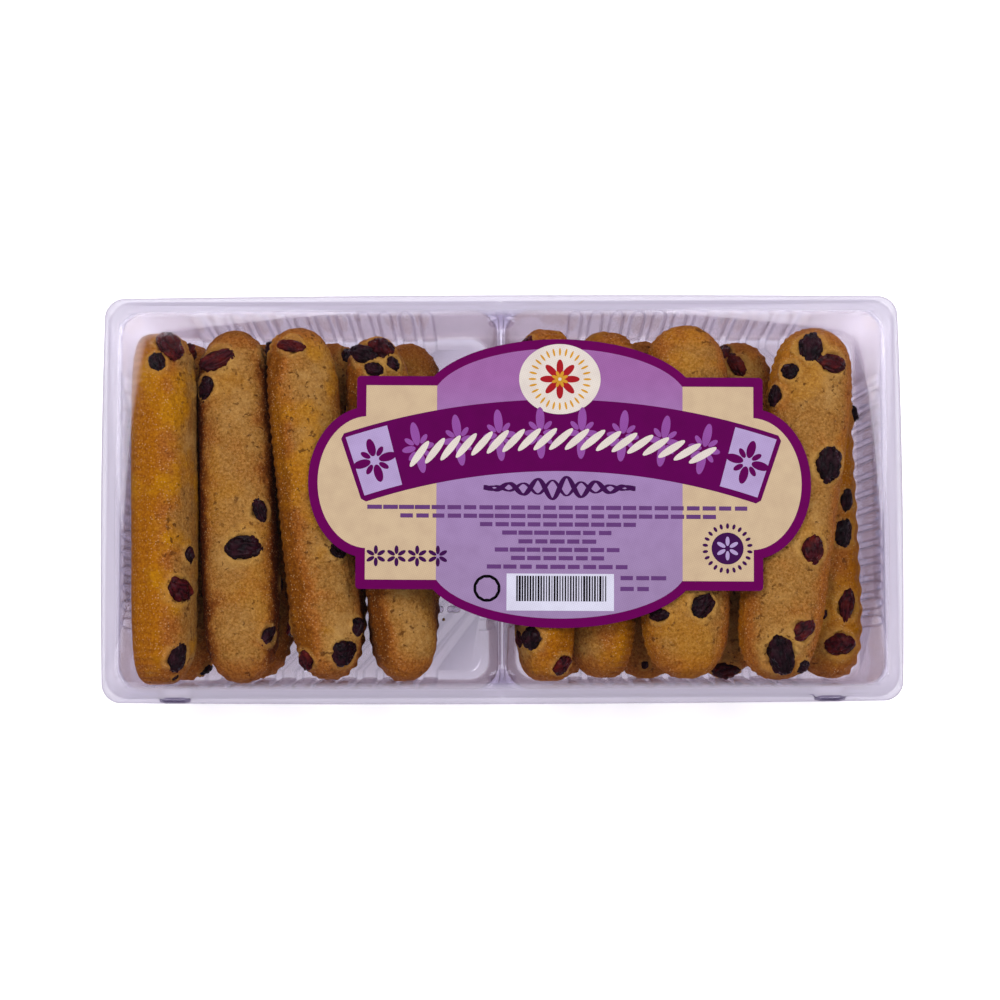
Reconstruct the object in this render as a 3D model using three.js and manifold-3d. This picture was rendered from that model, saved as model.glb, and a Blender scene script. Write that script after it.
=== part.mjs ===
// A sealed pack of finger madeleines. Sixteen small raisin cakes lie two deep in the two
// compartments of a clear thermoformed tray. Clear film is wrapped round the tray, and a
// die-cut paper label is stuck on top of the film.
// Millimetres, +Z up. The origin is the middle of the pack's underside, X runs along the pack.
import * as THREE from "three";
import { mergeVertices } from "three/addons/utils/BufferGeometryUtils.js";
import Module from "manifold-3d";

const wasm = await Module();
wasm.setup();

// Driving dimensions: the wrapped pack
const PACK_LENGTH = 222;
const PACK_WIDTH = 113.6;
const PACK_CORNER = 5.5; // radius of the corners seen from above
const FOOT_CORNER = 4.5; // the same corners round the tray's feet
const EDGE_BOW = 0.6; // how far the taut film swells at the middle of a side
const FILM_SHEET = 0.3;
const CLEARANCE = 0.3; // left between pieces that touch
const SEAM_LENGTH = 180; // open lap of the film along the underside
const SEAM_OFFSET = 8;
const FILM_TOP_EDGE = { inset: 0.7, drop: 0.8 }; // the film's rounded edge over the flange
const FILM_FOOT_EDGE = { inset: 1, drop: 1.2 }; // and round the feet
const FILM_ARC_STEPS = 4;
const FILM_SIDE_STEPS = 4;

// Driving dimensions: the tray
const TRAY_SHEET = 0.5;
const TRAY_TOP = 42; // top of the flange
const FLANGE_INSET = 1.7; // the flange edge stands back from the film's edge
const FLANGE_CORNER = 6.5;
const CUP_LENGTH = 104; // inside size of one compartment at the rim
const CUP_WIDTH = 105;
const CUP_CORNER = 7;
const WEB = 2.8; // wall between the compartments
const RIM_BEVEL = 0.6; // the wall opens out this far where it meets the flange
const WALL_DRAFT = 0.065; // the walls lean in this much for each millimetre of depth
const FLUTE_DEPTH = 0.9;
const FLUTE_TOP = 2.5; // plain height under the rim
const FOOT_HEIGHT = 3.5; // rounded foot between wall and floor
const FOOT_SHARE = 0.8; // how far the foot runs in, as a share of its height
const FOOT_FLUTE_SHARE = 1 / 3; // depth of the flutes where the foot meets the floor
const SIDE_FLUTES = { count: 15, pitch: 4.85 };
const END_FLUTES = { count: 12, pitch: 5.9 };
const RIB = { count: 13, pitch: 4.9, length: 85.4, foot: 2.4, crest: 1, height: 0.8 };
const LUG = { x: 90, width: 9, crest: 6, reach: 1.8, depth: 5, root: 3 }; // keeps nested trays apart
const CUP_ARC_STEPS = 4;
const FLANGE_ARC_STEPS = 5;

// Driving dimensions: the label, measured from its middle
const LABEL_SHEET = 0.25;
const LABEL_X = 16;
const LABEL_Y = 4.08;
const LABEL_TURN = -0.5; // degrees
const SHOULDER = { x: 56.2, y: 29.55, corner: 1.1 };
const DOME = { half: 34.9, rise: 10.5, reach: 38 }; // reach: half width of the whole ellipse
const LOBE = { half: 20.5, rise: 13.3, reach: 20.9 };
const LABEL_CURVE_STEPS = 5;

// Driving dimensions: the cakes. Each row gives one cake's own size, the middle of its rim
// plane, and how it has settled: yaw in plan, roll about its length, pitch of its far end.
const CAKE_RIM = 0.5; // height of the rim as a share of the cake's height
const CAKES = [
  { name: "cake_left_top_1", size: [99, 23, 17], at: [-94.8, -1.6, 30.4], yaw: 0.5, roll: 78, pitch: 0 },
  { name: "cake_left_top_2", size: [100, 22, 17], at: [-74.6, -0.8, 26.2], yaw: 2, roll: 0, pitch: -1 },
  { name: "cake_left_top_3", size: [99, 21.5, 17], at: [-52.6, -0.2, 31.9], yaw: 6, roll: 34, pitch: 0.5 },
  { name: "cake_left_top_4", size: [97.5, 20, 16.5], at: [-31.3, -1.7, 28], yaw: 6, roll: 32, pitch: 0 },
  { name: "cake_left_low_1", size: [97.5, 21, 15.5], at: [-91.3, -1, 10.4], yaw: 0, roll: -10, pitch: 0 },
  { name: "cake_left_low_2", size: [97, 21, 15.5], at: [-70.2, -0.8, 10], yaw: 0, roll: 4, pitch: 0 },
  { name: "cake_left_low_3", size: [97.5, 21, 15.5], at: [-49.2, -1, 11.5], yaw: 0, roll: -9, pitch: 0 },
  { name: "cake_left_low_4", size: [97, 21, 15.5], at: [-28, -0.9, 10.3], yaw: -1, roll: 7, pitch: 0 },
  { name: "cake_right_top_1", size: [99, 22, 15.4], at: [11.7, -1, 31], yaw: 0, roll: -70, pitch: 0 },
  { name: "cake_right_top_2", size: [98, 22, 16.5], at: [28.6, -0.6, 26.6], yaw: -1.5, roll: -50, pitch: 0 },
  { name: "cake_right_top_3", size: [99, 26, 17.5], at: [51.5, -0.4, 32.5], yaw: -0.5, roll: 9, pitch: 0 },
  { name: "cake_right_top_4", size: [99.5, 24.5, 17.5], at: [82.3, -1, 32.8], yaw: -8, roll: 6, pitch: 0.5 },
  { name: "cake_right_low_1", size: [97, 22.5, 15.5], at: [16.3, -0.8, 10.1], yaw: 0, roll: 0, pitch: 0 },
  { name: "cake_right_low_2", size: [97.5, 22.5, 15.5], at: [41.2, -0.9, 10.2], yaw: 0, roll: 4, pitch: 0 },
  { name: "cake_right_low_3", size: [97, 22.5, 15.5], at: [66.1, -0.9, 11], yaw: -3.5, roll: -6, pitch: 0 },
  { name: "cake_right_low_4", size: [98, 22.5, 16.5], at: [91.7, -1, 14.6], yaw: 2, roll: -45, pitch: -1 },
];
const CAKE_AROUND = 12;
const CAKE_ALONG = 10;
const CAKE_SPREAD = 0.45; // below 1, the rows of faces crowd towards the round ends
const CAKE_ENDS = 7.5; // the higher, the blunter the ends
const CAKE_BULGE = { above: 2.3, below: 3.2 }; // exponents of the sections' superellipses
const CAKE_DRAFT = 0.16; // the moulded part is this share narrower at the bottom
const CAKE_END_RISE = { above: 0.8, below: 0.3 }; // how soon the height drops towards the ends
const WELD = 1e-4;

// Levels that follow from the sizes above
const trayBottom = FILM_SHEET + CLEARANCE;
const filmTop = TRAY_TOP + CLEARANCE + FILM_SHEET;

// Turns a three.js geometry into a solid that can be joined and cut
function solid(geometry) {
  geometry.deleteAttribute("normal");
  geometry.deleteAttribute("uv");
  const merged = mergeVertices(geometry, WELD);
  const mesh = new wasm.Mesh({
    numProp: 3,
    vertProperties: new Float32Array(merged.attributes.position.array),
    triVerts: new Uint32Array(merged.index.array),
  });
  return new wasm.Manifold(mesh);
}

// Turns a finished solid back into a geometry
function toGeometry(manifold) {
  const mesh = manifold.getMesh();
  const geometry = new THREE.BufferGeometry();
  geometry.setAttribute("position", new THREE.BufferAttribute(mesh.vertProperties, 3));
  geometry.setIndex(new THREE.BufferAttribute(mesh.triVerts, 1));
  geometry.computeVertexNormals();
  return geometry;
}

// A closed skin through a stack of outlines, listed from the top down, all round the Z axis
function loft(levels) {
  const around = levels[0].outline.length;
  const bands = levels.length - 1;
  const geometry = new THREE.CylinderGeometry(1, 1, 1, around, bands);
  geometry.rotateX(Math.PI / 2);
  const position = geometry.attributes.position;
  for (let i = 0; i < position.count; i++) {
    const x = position.getX(i);
    const y = position.getY(i);
    const level = levels[Math.round((0.5 - position.getZ(i)) * bands)];
    const turn = Math.atan2(x, -y) / (2 * Math.PI);
    const point = level.outline[(Math.round(turn * around) + around) % around];
    const reach = Math.hypot(x, y);
    position.setXYZ(i, point.x * reach, point.y * reach, level.z);
  }
  return geometry;
}

// One corner arc, anticlockwise, of a rounded rectangle
function cornerArc(halfX, halfY, radius, quarter, steps) {
  const centre = new THREE.Vector2(halfX - radius, halfY - radius);
  if (quarter === 1 || quarter === 2) centre.x = -centre.x;
  if (quarter > 1) centre.y = -centre.y;
  const points = [];
  for (let i = 0; i <= steps; i++) {
    const angle = (quarter + i / steps) * (Math.PI / 2);
    points.push(new THREE.Vector2(Math.cos(angle), Math.sin(angle)).multiplyScalar(radius).add(centre));
  }
  return points;
}

// The side that follows each corner, left to right as seen from inside: its middle, its
// direction and the way in
function sideFrame(halfX, halfY, quarter) {
  const along = new THREE.Vector2(-1, 0).rotateAround(new THREE.Vector2(), (quarter * Math.PI) / 2);
  const inward = new THREE.Vector2(0, -1).rotateAround(new THREE.Vector2(), (quarter * Math.PI) / 2);
  const reach = quarter % 2 === 0 ? halfY : halfX;
  return { middle: inward.clone().multiplyScalar(-reach), along, inward };
}

// A compartment's outline. The sides carry flutes, whose ridges stand into the compartment.
function cupOutline(inset, fluteDepth) {
  const halfX = CUP_LENGTH / 2 - inset;
  const halfY = CUP_WIDTH / 2 - inset;
  const points = [];
  for (let quarter = 0; quarter < 4; quarter++) {
    points.push(...cornerArc(halfX, halfY, CUP_CORNER - inset / 2, quarter, CUP_ARC_STEPS));
    const side = sideFrame(halfX, halfY, quarter);
    const flutes = quarter % 2 === 0 ? END_FLUTES : SIDE_FLUTES;
    for (let i = 0; i <= 2 * flutes.count; i++) {
      const point = side.middle.clone();
      point.addScaledVector(side.along, (i - flutes.count) * (flutes.pitch / 2));
      point.addScaledVector(side.inward, i % 2 === 1 ? fluteDepth : 0);
      points.push(point);
    }
  }
  return points;
}

// A compartment as a solid. The outside is the same shape grown by the sheet.
function cup(grow, floor, top) {
  const depthBelow = (z) => TRAY_TOP - z;
  const wallTop = TRAY_TOP - FLUTE_TOP;
  const footTop = floor + FOOT_HEIGHT;
  const footInset = depthBelow(footTop) * WALL_DRAFT + FOOT_HEIGHT * FOOT_SHARE;
  return solid(
    loft([
      { z: top, outline: cupOutline(-RIM_BEVEL - grow, 0) },
      { z: wallTop, outline: cupOutline(depthBelow(wallTop) * WALL_DRAFT - grow, FLUTE_DEPTH) },
      { z: footTop, outline: cupOutline(depthBelow(footTop) * WALL_DRAFT - grow, FLUTE_DEPTH) },
      { z: floor, outline: cupOutline(footInset - grow, FLUTE_DEPTH * FOOT_FLUTE_SHARE) },
    ]),
  );
}

// A lug is a small pocket that widens the front wall just under the rim
function lug(grow, bottom, top) {
  const inside = -CUP_WIDTH / 2 + LUG.root;
  const outside = -CUP_WIDTH / 2 - LUG.reach - grow;
  const shape = new THREE.Shape();
  shape.moveTo(LUG.width / 2 + grow, inside);
  shape.lineTo(-LUG.width / 2 - grow, inside);
  shape.lineTo(-LUG.width / 2 - grow, -CUP_WIDTH / 2);
  shape.lineTo(-LUG.crest / 2 - grow, outside);
  shape.lineTo(LUG.crest / 2 + grow, outside);
  shape.lineTo(LUG.width / 2 + grow, -CUP_WIDTH / 2);
  const geometry = new THREE.ExtrudeGeometry(shape, { depth: top - bottom, bevelEnabled: false });
  geometry.translate(0, 0, bottom);
  return solid(geometry);
}

// The ribs that stiffen a compartment's floor, on which the cakes lie
function floorRibs(floor) {
  const sunk = TRAY_SHEET / 2;
  const section = new THREE.Shape();
  section.moveTo(-RIB.foot / 2, -sunk);
  section.lineTo(RIB.foot / 2, -sunk);
  section.lineTo(RIB.crest / 2, RIB.height);
  section.lineTo(-RIB.crest / 2, RIB.height);
  let ribs = null;
  for (let i = 0; i < RIB.count; i++) {
    const geometry = new THREE.ExtrudeGeometry(section, { depth: RIB.length, bevelEnabled: false });
    geometry.translate(0, 0, -RIB.length / 2);
    geometry.rotateX(Math.PI / 2);
    geometry.rotateZ(Math.PI / 2);
    geometry.translate(0, (i - (RIB.count - 1) / 2) * RIB.pitch, floor);
    const rib = solid(geometry);
    ribs = ribs ? ribs.add(rib) : rib;
  }
  return ribs;
}

// A rounded rectangle as a shape to extrude
function roundedRectangle(halfX, halfY, radius) {
  const points = [];
  for (let quarter = 0; quarter < 4; quarter++) {
    points.push(...cornerArc(halfX, halfY, radius, quarter, FLANGE_ARC_STEPS));
  }
  return new THREE.Shape(points);
}

function trayGeometry() {
  const floor = trayBottom + TRAY_SHEET;
  const cupCentre = (WEB + CUP_LENGTH) / 2;
  const flangeX = PACK_LENGTH / 2 - FLANGE_INSET;
  const flangeY = PACK_WIDTH / 2 - FLANGE_INSET;
  const plate = new THREE.ExtrudeGeometry(roundedRectangle(flangeX, flangeY, FLANGE_CORNER), {
    depth: TRAY_SHEET,
    bevelEnabled: false,
  });
  plate.translate(0, 0, TRAY_TOP - TRAY_SHEET);
  const hiddenTop = TRAY_TOP - TRAY_SHEET / 2;
  const openTop = TRAY_TOP + TRAY_SHEET;
  const lugBottom = TRAY_TOP - LUG.depth;
  let tray = solid(plate);
  for (const side of [-1, 1]) {
    tray = tray.add(cup(TRAY_SHEET, trayBottom, hiddenTop).translate([side * cupCentre, 0, 0]));
    tray = tray.add(lug(TRAY_SHEET, lugBottom - TRAY_SHEET, hiddenTop).translate([side * LUG.x, 0, 0]));
  }
  for (const side of [-1, 1]) {
    tray = tray.subtract(cup(0, floor, openTop).translate([side * cupCentre, 0, 0]));
    tray = tray.subtract(lug(0, lugBottom, openTop).translate([side * LUG.x, 0, 0]));
    tray = tray.add(floorRibs(floor).translate([side * cupCentre, 0, 0]));
  }
  return toGeometry(tray);
}

// The film's outline at one level: a rounded rectangle whose sides swell a little
function filmOutline(halfX, halfY, radius, bow) {
  const points = [];
  for (let quarter = 0; quarter < 4; quarter++) {
    points.push(...cornerArc(halfX, halfY, radius, quarter, FILM_ARC_STEPS));
    const side = sideFrame(halfX, halfY, quarter);
    const halfRun = (quarter % 2 === 0 ? halfX : halfY) - radius;
    for (let i = 1; i < FILM_SIDE_STEPS; i++) {
      const share = (2 * i) / FILM_SIDE_STEPS - 1;
      const point = side.middle.clone();
      point.addScaledVector(side.along, share * halfRun);
      point.addScaledVector(side.inward, -bow * (1 - share * share));
      points.push(point);
    }
  }
  return points;
}

// The wrapped body: full size at the flange, drawn in to the tray's feet below
function wrapped(grow, bottom, top) {
  const footReach = TRAY_SHEET + CLEARANCE + FILM_SHEET - WALL_DRAFT * TRAY_TOP + grow;
  const footX = CUP_LENGTH + WEB / 2 + footReach;
  const footY = CUP_WIDTH / 2 + footReach;
  const flangeX = PACK_LENGTH / 2 - EDGE_BOW + grow;
  const flangeY = PACK_WIDTH / 2 - EDGE_BOW + grow;
  const flange = (inset) => filmOutline(flangeX - inset, flangeY - inset, PACK_CORNER - inset, EDGE_BOW);
  const foot = (inset) => filmOutline(footX - inset, footY - inset, FOOT_CORNER - inset, 0);
  return solid(
    loft([
      { z: top, outline: flange(FILM_TOP_EDGE.inset) },
      { z: top - FILM_TOP_EDGE.drop, outline: flange(0) },
      { z: bottom + FILM_FOOT_EDGE.drop, outline: foot(0) },
      { z: bottom, outline: foot(FILM_FOOT_EDGE.inset) },
    ]),
  );
}

function filmGeometry() {
  const seam = new THREE.BoxGeometry(SEAM_LENGTH, FILM_SHEET, 4 * FILM_SHEET);
  seam.translate(0, SEAM_OFFSET, 0);
  const shell = wrapped(0, 0, filmTop).subtract(wrapped(-FILM_SHEET, FILM_SHEET, filmTop - FILM_SHEET));
  return toGeometry(shell.subtract(solid(seam)));
}

// The ellipse of a dome or a lobe that stands on a side of the label: its depth, the distance
// of its middle from the label's, and the angle between its tip and the side
function ellipseOn(side, { half, rise, reach }) {
  const angle = Math.asin(half / reach);
  const depth = rise / (1 - Math.cos(angle));
  return { reach, depth, centre: side + rise - depth, angle };
}

// The label: a rectangle with square shoulders, a shallow dome above and below, and a
// round lobe at each end
function labelGeometry() {
  const dome = ellipseOn(SHOULDER.y, DOME);
  const lobe = ellipseOn(SHOULDER.x, LOBE);
  const cornerX = SHOULDER.x - SHOULDER.corner;
  const cornerY = SHOULDER.y - SHOULDER.corner;
  const outline = new THREE.Shape();
  for (const turn of [0, Math.PI]) {
    const sign = turn === 0 ? 1 : -1;
    const next = turn + Math.PI / 2;
    outline.absellipse(sign * lobe.centre, 0, lobe.depth, lobe.reach, turn - lobe.angle, turn + lobe.angle);
    outline.absarc(sign * cornerX, sign * cornerY, SHOULDER.corner, turn, next);
    outline.absellipse(0, sign * dome.centre, dome.reach, dome.depth, next - dome.angle, next + dome.angle);
    outline.absarc(-sign * cornerX, sign * cornerY, SHOULDER.corner, next, next + Math.PI / 2);
  }
  return new THREE.ExtrudeGeometry(outline, {
    depth: LABEL_SHEET,
    bevelEnabled: false,
    curveSegments: LABEL_CURVE_STEPS,
  });
}

// A power that keeps the sign, for superellipse curves
function signedPower(value, power) {
  return Math.sign(value) * Math.abs(value) ** power;
}

// One cake: a long finger with round ends, baked in a mould with sloping sides, its top
// risen to a low dome over the rim. The rim plane is at z = 0 and the length along Y.
function cakeGeometry([length, width, height]) {
  const below = height * CAKE_RIM;
  const above = height - below;
  const geometry = new THREE.SphereGeometry(1, CAKE_AROUND, CAKE_ALONG);
  const position = geometry.attributes.position;
  for (let i = 0; i < position.count; i++) {
    const end = position.getY(i);
    const ring = Math.max(Math.hypot(position.getX(i), position.getZ(i)), Number.EPSILON);
    const share = signedPower(end, CAKE_SPREAD);
    const taper = Math.sqrt(Math.max(1 - Math.abs(share) ** CAKE_ENDS, 0));
    const across = position.getX(i) / ring;
    const up = position.getZ(i) / ring;
    const part = up < 0 ? "below" : "above";
    const power = 2 / CAKE_BULGE[part];
    const lift = Math.abs(up) ** power;
    const draft = up < 0 ? 1 - CAKE_DRAFT * lift : 1;
    const x = (width / 2) * taper * draft * signedPower(across, power);
    const z = (up < 0 ? -below : above) * taper ** CAKE_END_RISE[part] * lift;
    position.setXYZ(i, x, (share * length) / 2, z);
  }
  return toGeometry(solid(geometry));
}

const pack = new THREE.Group();

function piece(name, geometry, material) {
  const mesh = new THREE.Mesh(geometry, material);
  mesh.name = name;
  pack.add(mesh);
  return mesh;
}

const clearSheet = new THREE.MeshStandardMaterial({
  color: 0xd9d6e4,
  roughness: 0.12,
  metalness: 0,
  transparent: true,
  opacity: 0.35,
});
piece("tray", trayGeometry(), clearSheet);

const clearFilm = new THREE.MeshStandardMaterial({
  color: 0xe9e8f2,
  roughness: 0.08,
  metalness: 0,
  transparent: true,
  opacity: 0.2,
});
piece("film", filmGeometry(), clearFilm);

const printedPaper = new THREE.MeshStandardMaterial({ color: 0x9b70a6, roughness: 0.45, metalness: 0 });
const label = piece("label", labelGeometry(), printedPaper);
label.position.set(LABEL_X, LABEL_Y, filmTop + CLEARANCE);
label.rotation.z = THREE.MathUtils.degToRad(LABEL_TURN);

for (const cake of CAKES) {
  const sponge = new THREE.MeshStandardMaterial({ color: 0xa07036, roughness: 0.85, metalness: 0 });
  const mesh = piece(cake.name, cakeGeometry(cake.size), sponge);
  const { degToRad } = THREE.MathUtils;
  mesh.position.set(...cake.at);
  mesh.rotation.set(degToRad(cake.pitch), degToRad(cake.roll), degToRad(cake.yaw), "ZXY");
}

export default pack;
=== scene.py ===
import math

import bpy
import numpy as np
from mathutils import Matrix, Vector
from mathutils.bvhtree import BVHTree


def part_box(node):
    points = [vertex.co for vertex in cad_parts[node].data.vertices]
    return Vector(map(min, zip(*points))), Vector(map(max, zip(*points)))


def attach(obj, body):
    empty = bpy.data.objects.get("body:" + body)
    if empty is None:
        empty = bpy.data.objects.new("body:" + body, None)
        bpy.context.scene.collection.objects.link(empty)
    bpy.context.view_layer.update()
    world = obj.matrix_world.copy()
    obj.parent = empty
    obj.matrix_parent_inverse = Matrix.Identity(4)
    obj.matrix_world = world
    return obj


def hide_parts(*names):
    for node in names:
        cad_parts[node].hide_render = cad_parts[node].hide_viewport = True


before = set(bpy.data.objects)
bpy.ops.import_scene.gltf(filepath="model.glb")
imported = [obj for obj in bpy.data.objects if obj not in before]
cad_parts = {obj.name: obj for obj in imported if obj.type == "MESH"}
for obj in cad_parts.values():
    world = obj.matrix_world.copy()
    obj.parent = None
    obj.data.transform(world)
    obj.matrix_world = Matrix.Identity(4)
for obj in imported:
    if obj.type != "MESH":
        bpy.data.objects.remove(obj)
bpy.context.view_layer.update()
MM = 0.001

# ---------------------------------------------------------------------------------------
# Camera. It hangs almost straight over the pack, a little towards its front edge. The pack
# fills four fifths of the width of its view and two fifths of the height.
# ---------------------------------------------------------------------------------------
CAMERA_HEIGHT_ANGLE = math.radians(85.58)
CAMERA_TURN = math.radians(1.15)
CAMERA_ROLL = math.radians(-0.2)
CAMERA_DISTANCE = 659 * MM
CAMERA_LENS = 85.74
CAMERA_AIM = (-0.47 * MM, -0.5 * MM)

tray_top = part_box("tray")[1].z
level = math.cos(CAMERA_HEIGHT_ANGLE)
back = Vector((math.sin(CAMERA_TURN) * level, -math.cos(CAMERA_TURN) * level, math.sin(CAMERA_HEIGHT_ANGLE)))
right = Vector((0, 1, 0)).cross(back).normalized()
up = back.cross(right)
turned_right = math.cos(CAMERA_ROLL) * right + math.sin(CAMERA_ROLL) * up
turned_up = math.cos(CAMERA_ROLL) * up - math.sin(CAMERA_ROLL) * right
camera = bpy.data.objects.new("camera", bpy.data.cameras.new("camera"))
camera.data.lens = CAMERA_LENS
camera.data.clip_start = 0.05
camera.data.clip_end = 20
aim = Vector((0, 0, tray_top)) + CAMERA_AIM[0] * turned_right + CAMERA_AIM[1] * turned_up
axes = Matrix((turned_right, turned_up, back)).transposed().to_4x4()
camera.matrix_world = Matrix.Translation(aim + back * CAMERA_DISTANCE) @ axes
bpy.context.scene.collection.objects.link(camera)
bpy.context.scene.camera = camera


# ---------------------------------------------------------------------------------------
# Tray. One sheet of clear polyester, 0.5 mm thick, drawn by vacuum into a mould. Upright
# flutes stiffen the walls and rows of small pads stiffen the floors. Two pockets under the
# front rim and a stud at each end of the middle web keep stacked trays apart.
# ---------------------------------------------------------------------------------------
TRAY_SHEET = 0.5
CUP_HALF = (52.0, 52.5)
CUP_CENTRE = 53.4
CUP_CORNER = 7.0
WALL_DRAFT = 0.065
RIM_BEVEL = 0.6
BEVEL_STEPS = 4
LEDGE = 1.0
LEDGE_DROP = 0.35
LEDGE_GAP = 0.85
FLANGE_HALF = (109.3, 55.1)
FLANGE_CORNER = 6.5
FLANGE_LIP = 0.12
# Shares of the way from the ledge to the flange's edge at which the flange has its rings.
FLANGE_SHARES = (0.66, 0.33, 0.06, 0)
FLANGE_EDGE_SHARE = 0.985
# Heights of the wall's rings, close together where the arched tops of the flutes end.
WALL_LEVELS = [40.7, 40.6, 40.3, 39.8, 39, 38, 37.3, 37, 36, 34.5, 32.7, 24, 16, 8]
FLUTE_DEPTH = 0.9
FLUTE_TOP = 1.3
FLUTE_ARCH = 8.0
FLUTE_LEAST = 0.05
FLUTE_CURVE = 0.7
FLUTES = {"end": (12, 5.9), "side": (15, 4.85)}
FLUTE_SHARE = 0.8
FLUTE_AT_FOOT = 0.3
# Places of a flute's points across its width, from -1 to 1, and the one where its side bends most.
FLUTE_POINTS = np.sin(np.linspace(-1, 1, 7) * math.pi / 2).round(9)
FLUTE_EDGE = math.sin(math.pi / 3)
# How much each kind of bend dims what lies behind the sheet, from 0 to 1, and how much painted shade greys
# the flange.
BEND_AND_SHADE_GREY = {"edge": 0.5, "arch": 0.6, "rim": 0.8, "flange": 0.8}
ARC_STEPS = 10
FLOOR = 1.1
FOOT = (2.8, 3.5)
FOOT_STEPS = 6
POCKET = {"x": 36.6, "half": 4.6, "reach": 1.8, "depth": 5.0, "edge": 0.9, "roof": 0.3}
STUD = {"y": 49.6, "half": (3.9, 2.5), "height": 0.35, "sunk": 0.1, "rings": 5, "points": 36}
PAD = {"size": (4.0, 2.4, 0.8), "pitch": 4.9, "rows": 13, "columns": 17}
PAD_SQUARENESS = 0.6
PAD_SUNK = 0.08
PAD_HIGHLIGHT = 0.6


def linear(code):
    """An sRGB hex colour as linear red, green, blue and an alpha of one."""
    parts = [int(code[i:i + 2], 16) / 255 for i in (1, 3, 5)]
    return tuple(p / 12.92 if p <= 0.04045 else ((p + 0.055) / 1.055) ** 2.4 for p in parts) + (1.0,)


def add(tree, kind, inputs=(), operation=None, **settings):
    """Adds a node and sets it up. The kind is Blender's name without its family. Inputs are values,
    nodes or sockets, in order or by name."""
    families = ("GeometryNode", "FunctionNode", "ShaderNode", "Node")
    if tree.type == "SHADER":
        families = families[2:]
    made = tree.nodes.new(next(f + kind for f in families if hasattr(bpy.types, f + kind)))
    if operation:
        made.operation = operation
    for name, value in settings.items():
        setattr(made, name, value)
    usable = [socket for socket in made.inputs if socket.enabled]
    for key, value in inputs.items() if isinstance(inputs, dict) else enumerate(inputs):
        socket = next(s for s in usable if s.name == key) if isinstance(key, str) else usable[key]
        if isinstance(value, bpy.types.Node):
            value = next(s for s in value.outputs if s.enabled)
        if isinstance(value, bpy.types.NodeSocket):
            tree.links.new(value, socket)
        else:
            socket.default_value = value
    return made


def new_material(name):
    """An empty material and its tree."""
    material = bpy.data.materials.new(name)
    material.use_nodes = True
    material.node_tree.nodes.clear()
    return material, material.node_tree


def new_tree(name, **kinds):
    """An empty geometry tree with these inputs, and the sockets that give their values."""
    tree = bpy.data.node_groups.new(name, "GeometryNodeTree")
    tree.interface.new_socket("Geometry", in_out="OUTPUT", socket_type="NodeSocketGeometry")
    for socket, kind in kinds.items():
        tree.interface.new_socket(socket, in_out="INPUT", socket_type="NodeSocket" + kind)
    return tree, add(tree, "GroupInput").outputs


def end_tree(tree, given, made, smooth=True):
    """Ends a geometry tree: what it made as real mesh, shaded smooth or flat, in its material."""
    made = add(tree, "RealizeInstances", (made,))
    if smooth:
        made = add(tree, "SetShadeSmooth", (made,))
    made = add(tree, "SetMaterial", {"Geometry": made, "Material": given["Material"]})
    add(tree, "GroupOutput", (made,))
    return tree


def new_piece(name, vertices, faces, smooth=True):
    """A mesh object from points in millimetres and lists of point numbers."""
    mesh = bpy.data.meshes.new(name)
    mesh.from_pydata((np.asarray(vertices, float).reshape(-1, 3) * MM).tolist(), [], faces)
    mesh.update()
    mesh.polygons.foreach_set("use_smooth", [smooth] * len(mesh.polygons))
    made = bpy.data.objects.new(name, mesh)
    bpy.context.scene.collection.objects.link(made)
    return made


def freeze(made):
    """Applies a piece's modifiers, so that it is a plain mesh."""
    seen = bpy.context.evaluated_depsgraph_get()
    seen.update()
    mesh = bpy.data.meshes.new_from_object(made.evaluated_get(seen), depsgraph=seen)
    made.modifiers.clear()
    made.data = mesh
    mesh.name = made.name
    return made


def grow(name, tree, values):
    """Runs a geometry tree with these inputs, and keeps what it makes as a plain mesh."""
    made = new_piece(name, [], [])
    modifier = made.modifiers.new(name, "NODES")
    modifier.node_group = tree
    for item in tree.interface.items_tree:
        if item.in_out == "INPUT":
            modifier[item.identifier] = values[item.name]
    return freeze(made)


def join(name, pieces):
    """Several objects as one piece, each keeping its own materials."""
    if len(pieces) > 1:
        with bpy.context.temp_override(active_object=pieces[0], selected_editable_objects=pieces):
            bpy.ops.object.join()
    pieces[0].name = name
    pieces[0].data.name = name
    return pieces[0]


def smooth_step(low, high, value):
    """Rises smoothly from 0 at the low value to 1 at the high one."""
    share = np.clip((np.asarray(value, float) - low) / (high - low), 0, 1)
    return share * share * (3 - 2 * share)


def wall_places(kind, width, pocket):
    """Places along a wall where its rings have points, closer together at the edges of each flute.
    In the front wall the pocket takes the place of the last flute."""
    count, pitch = FLUTES[kind]
    middles = (np.arange(count) - (count - 1) / 2) * pitch
    places = middles[:, None] + FLUTE_POINTS * (pitch * FLUTE_SHARE / 2 * width)
    if pocket:
        places[-1] = POCKET["x"] + POCKET["half"] * FLUTE_POINTS
    return places


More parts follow.
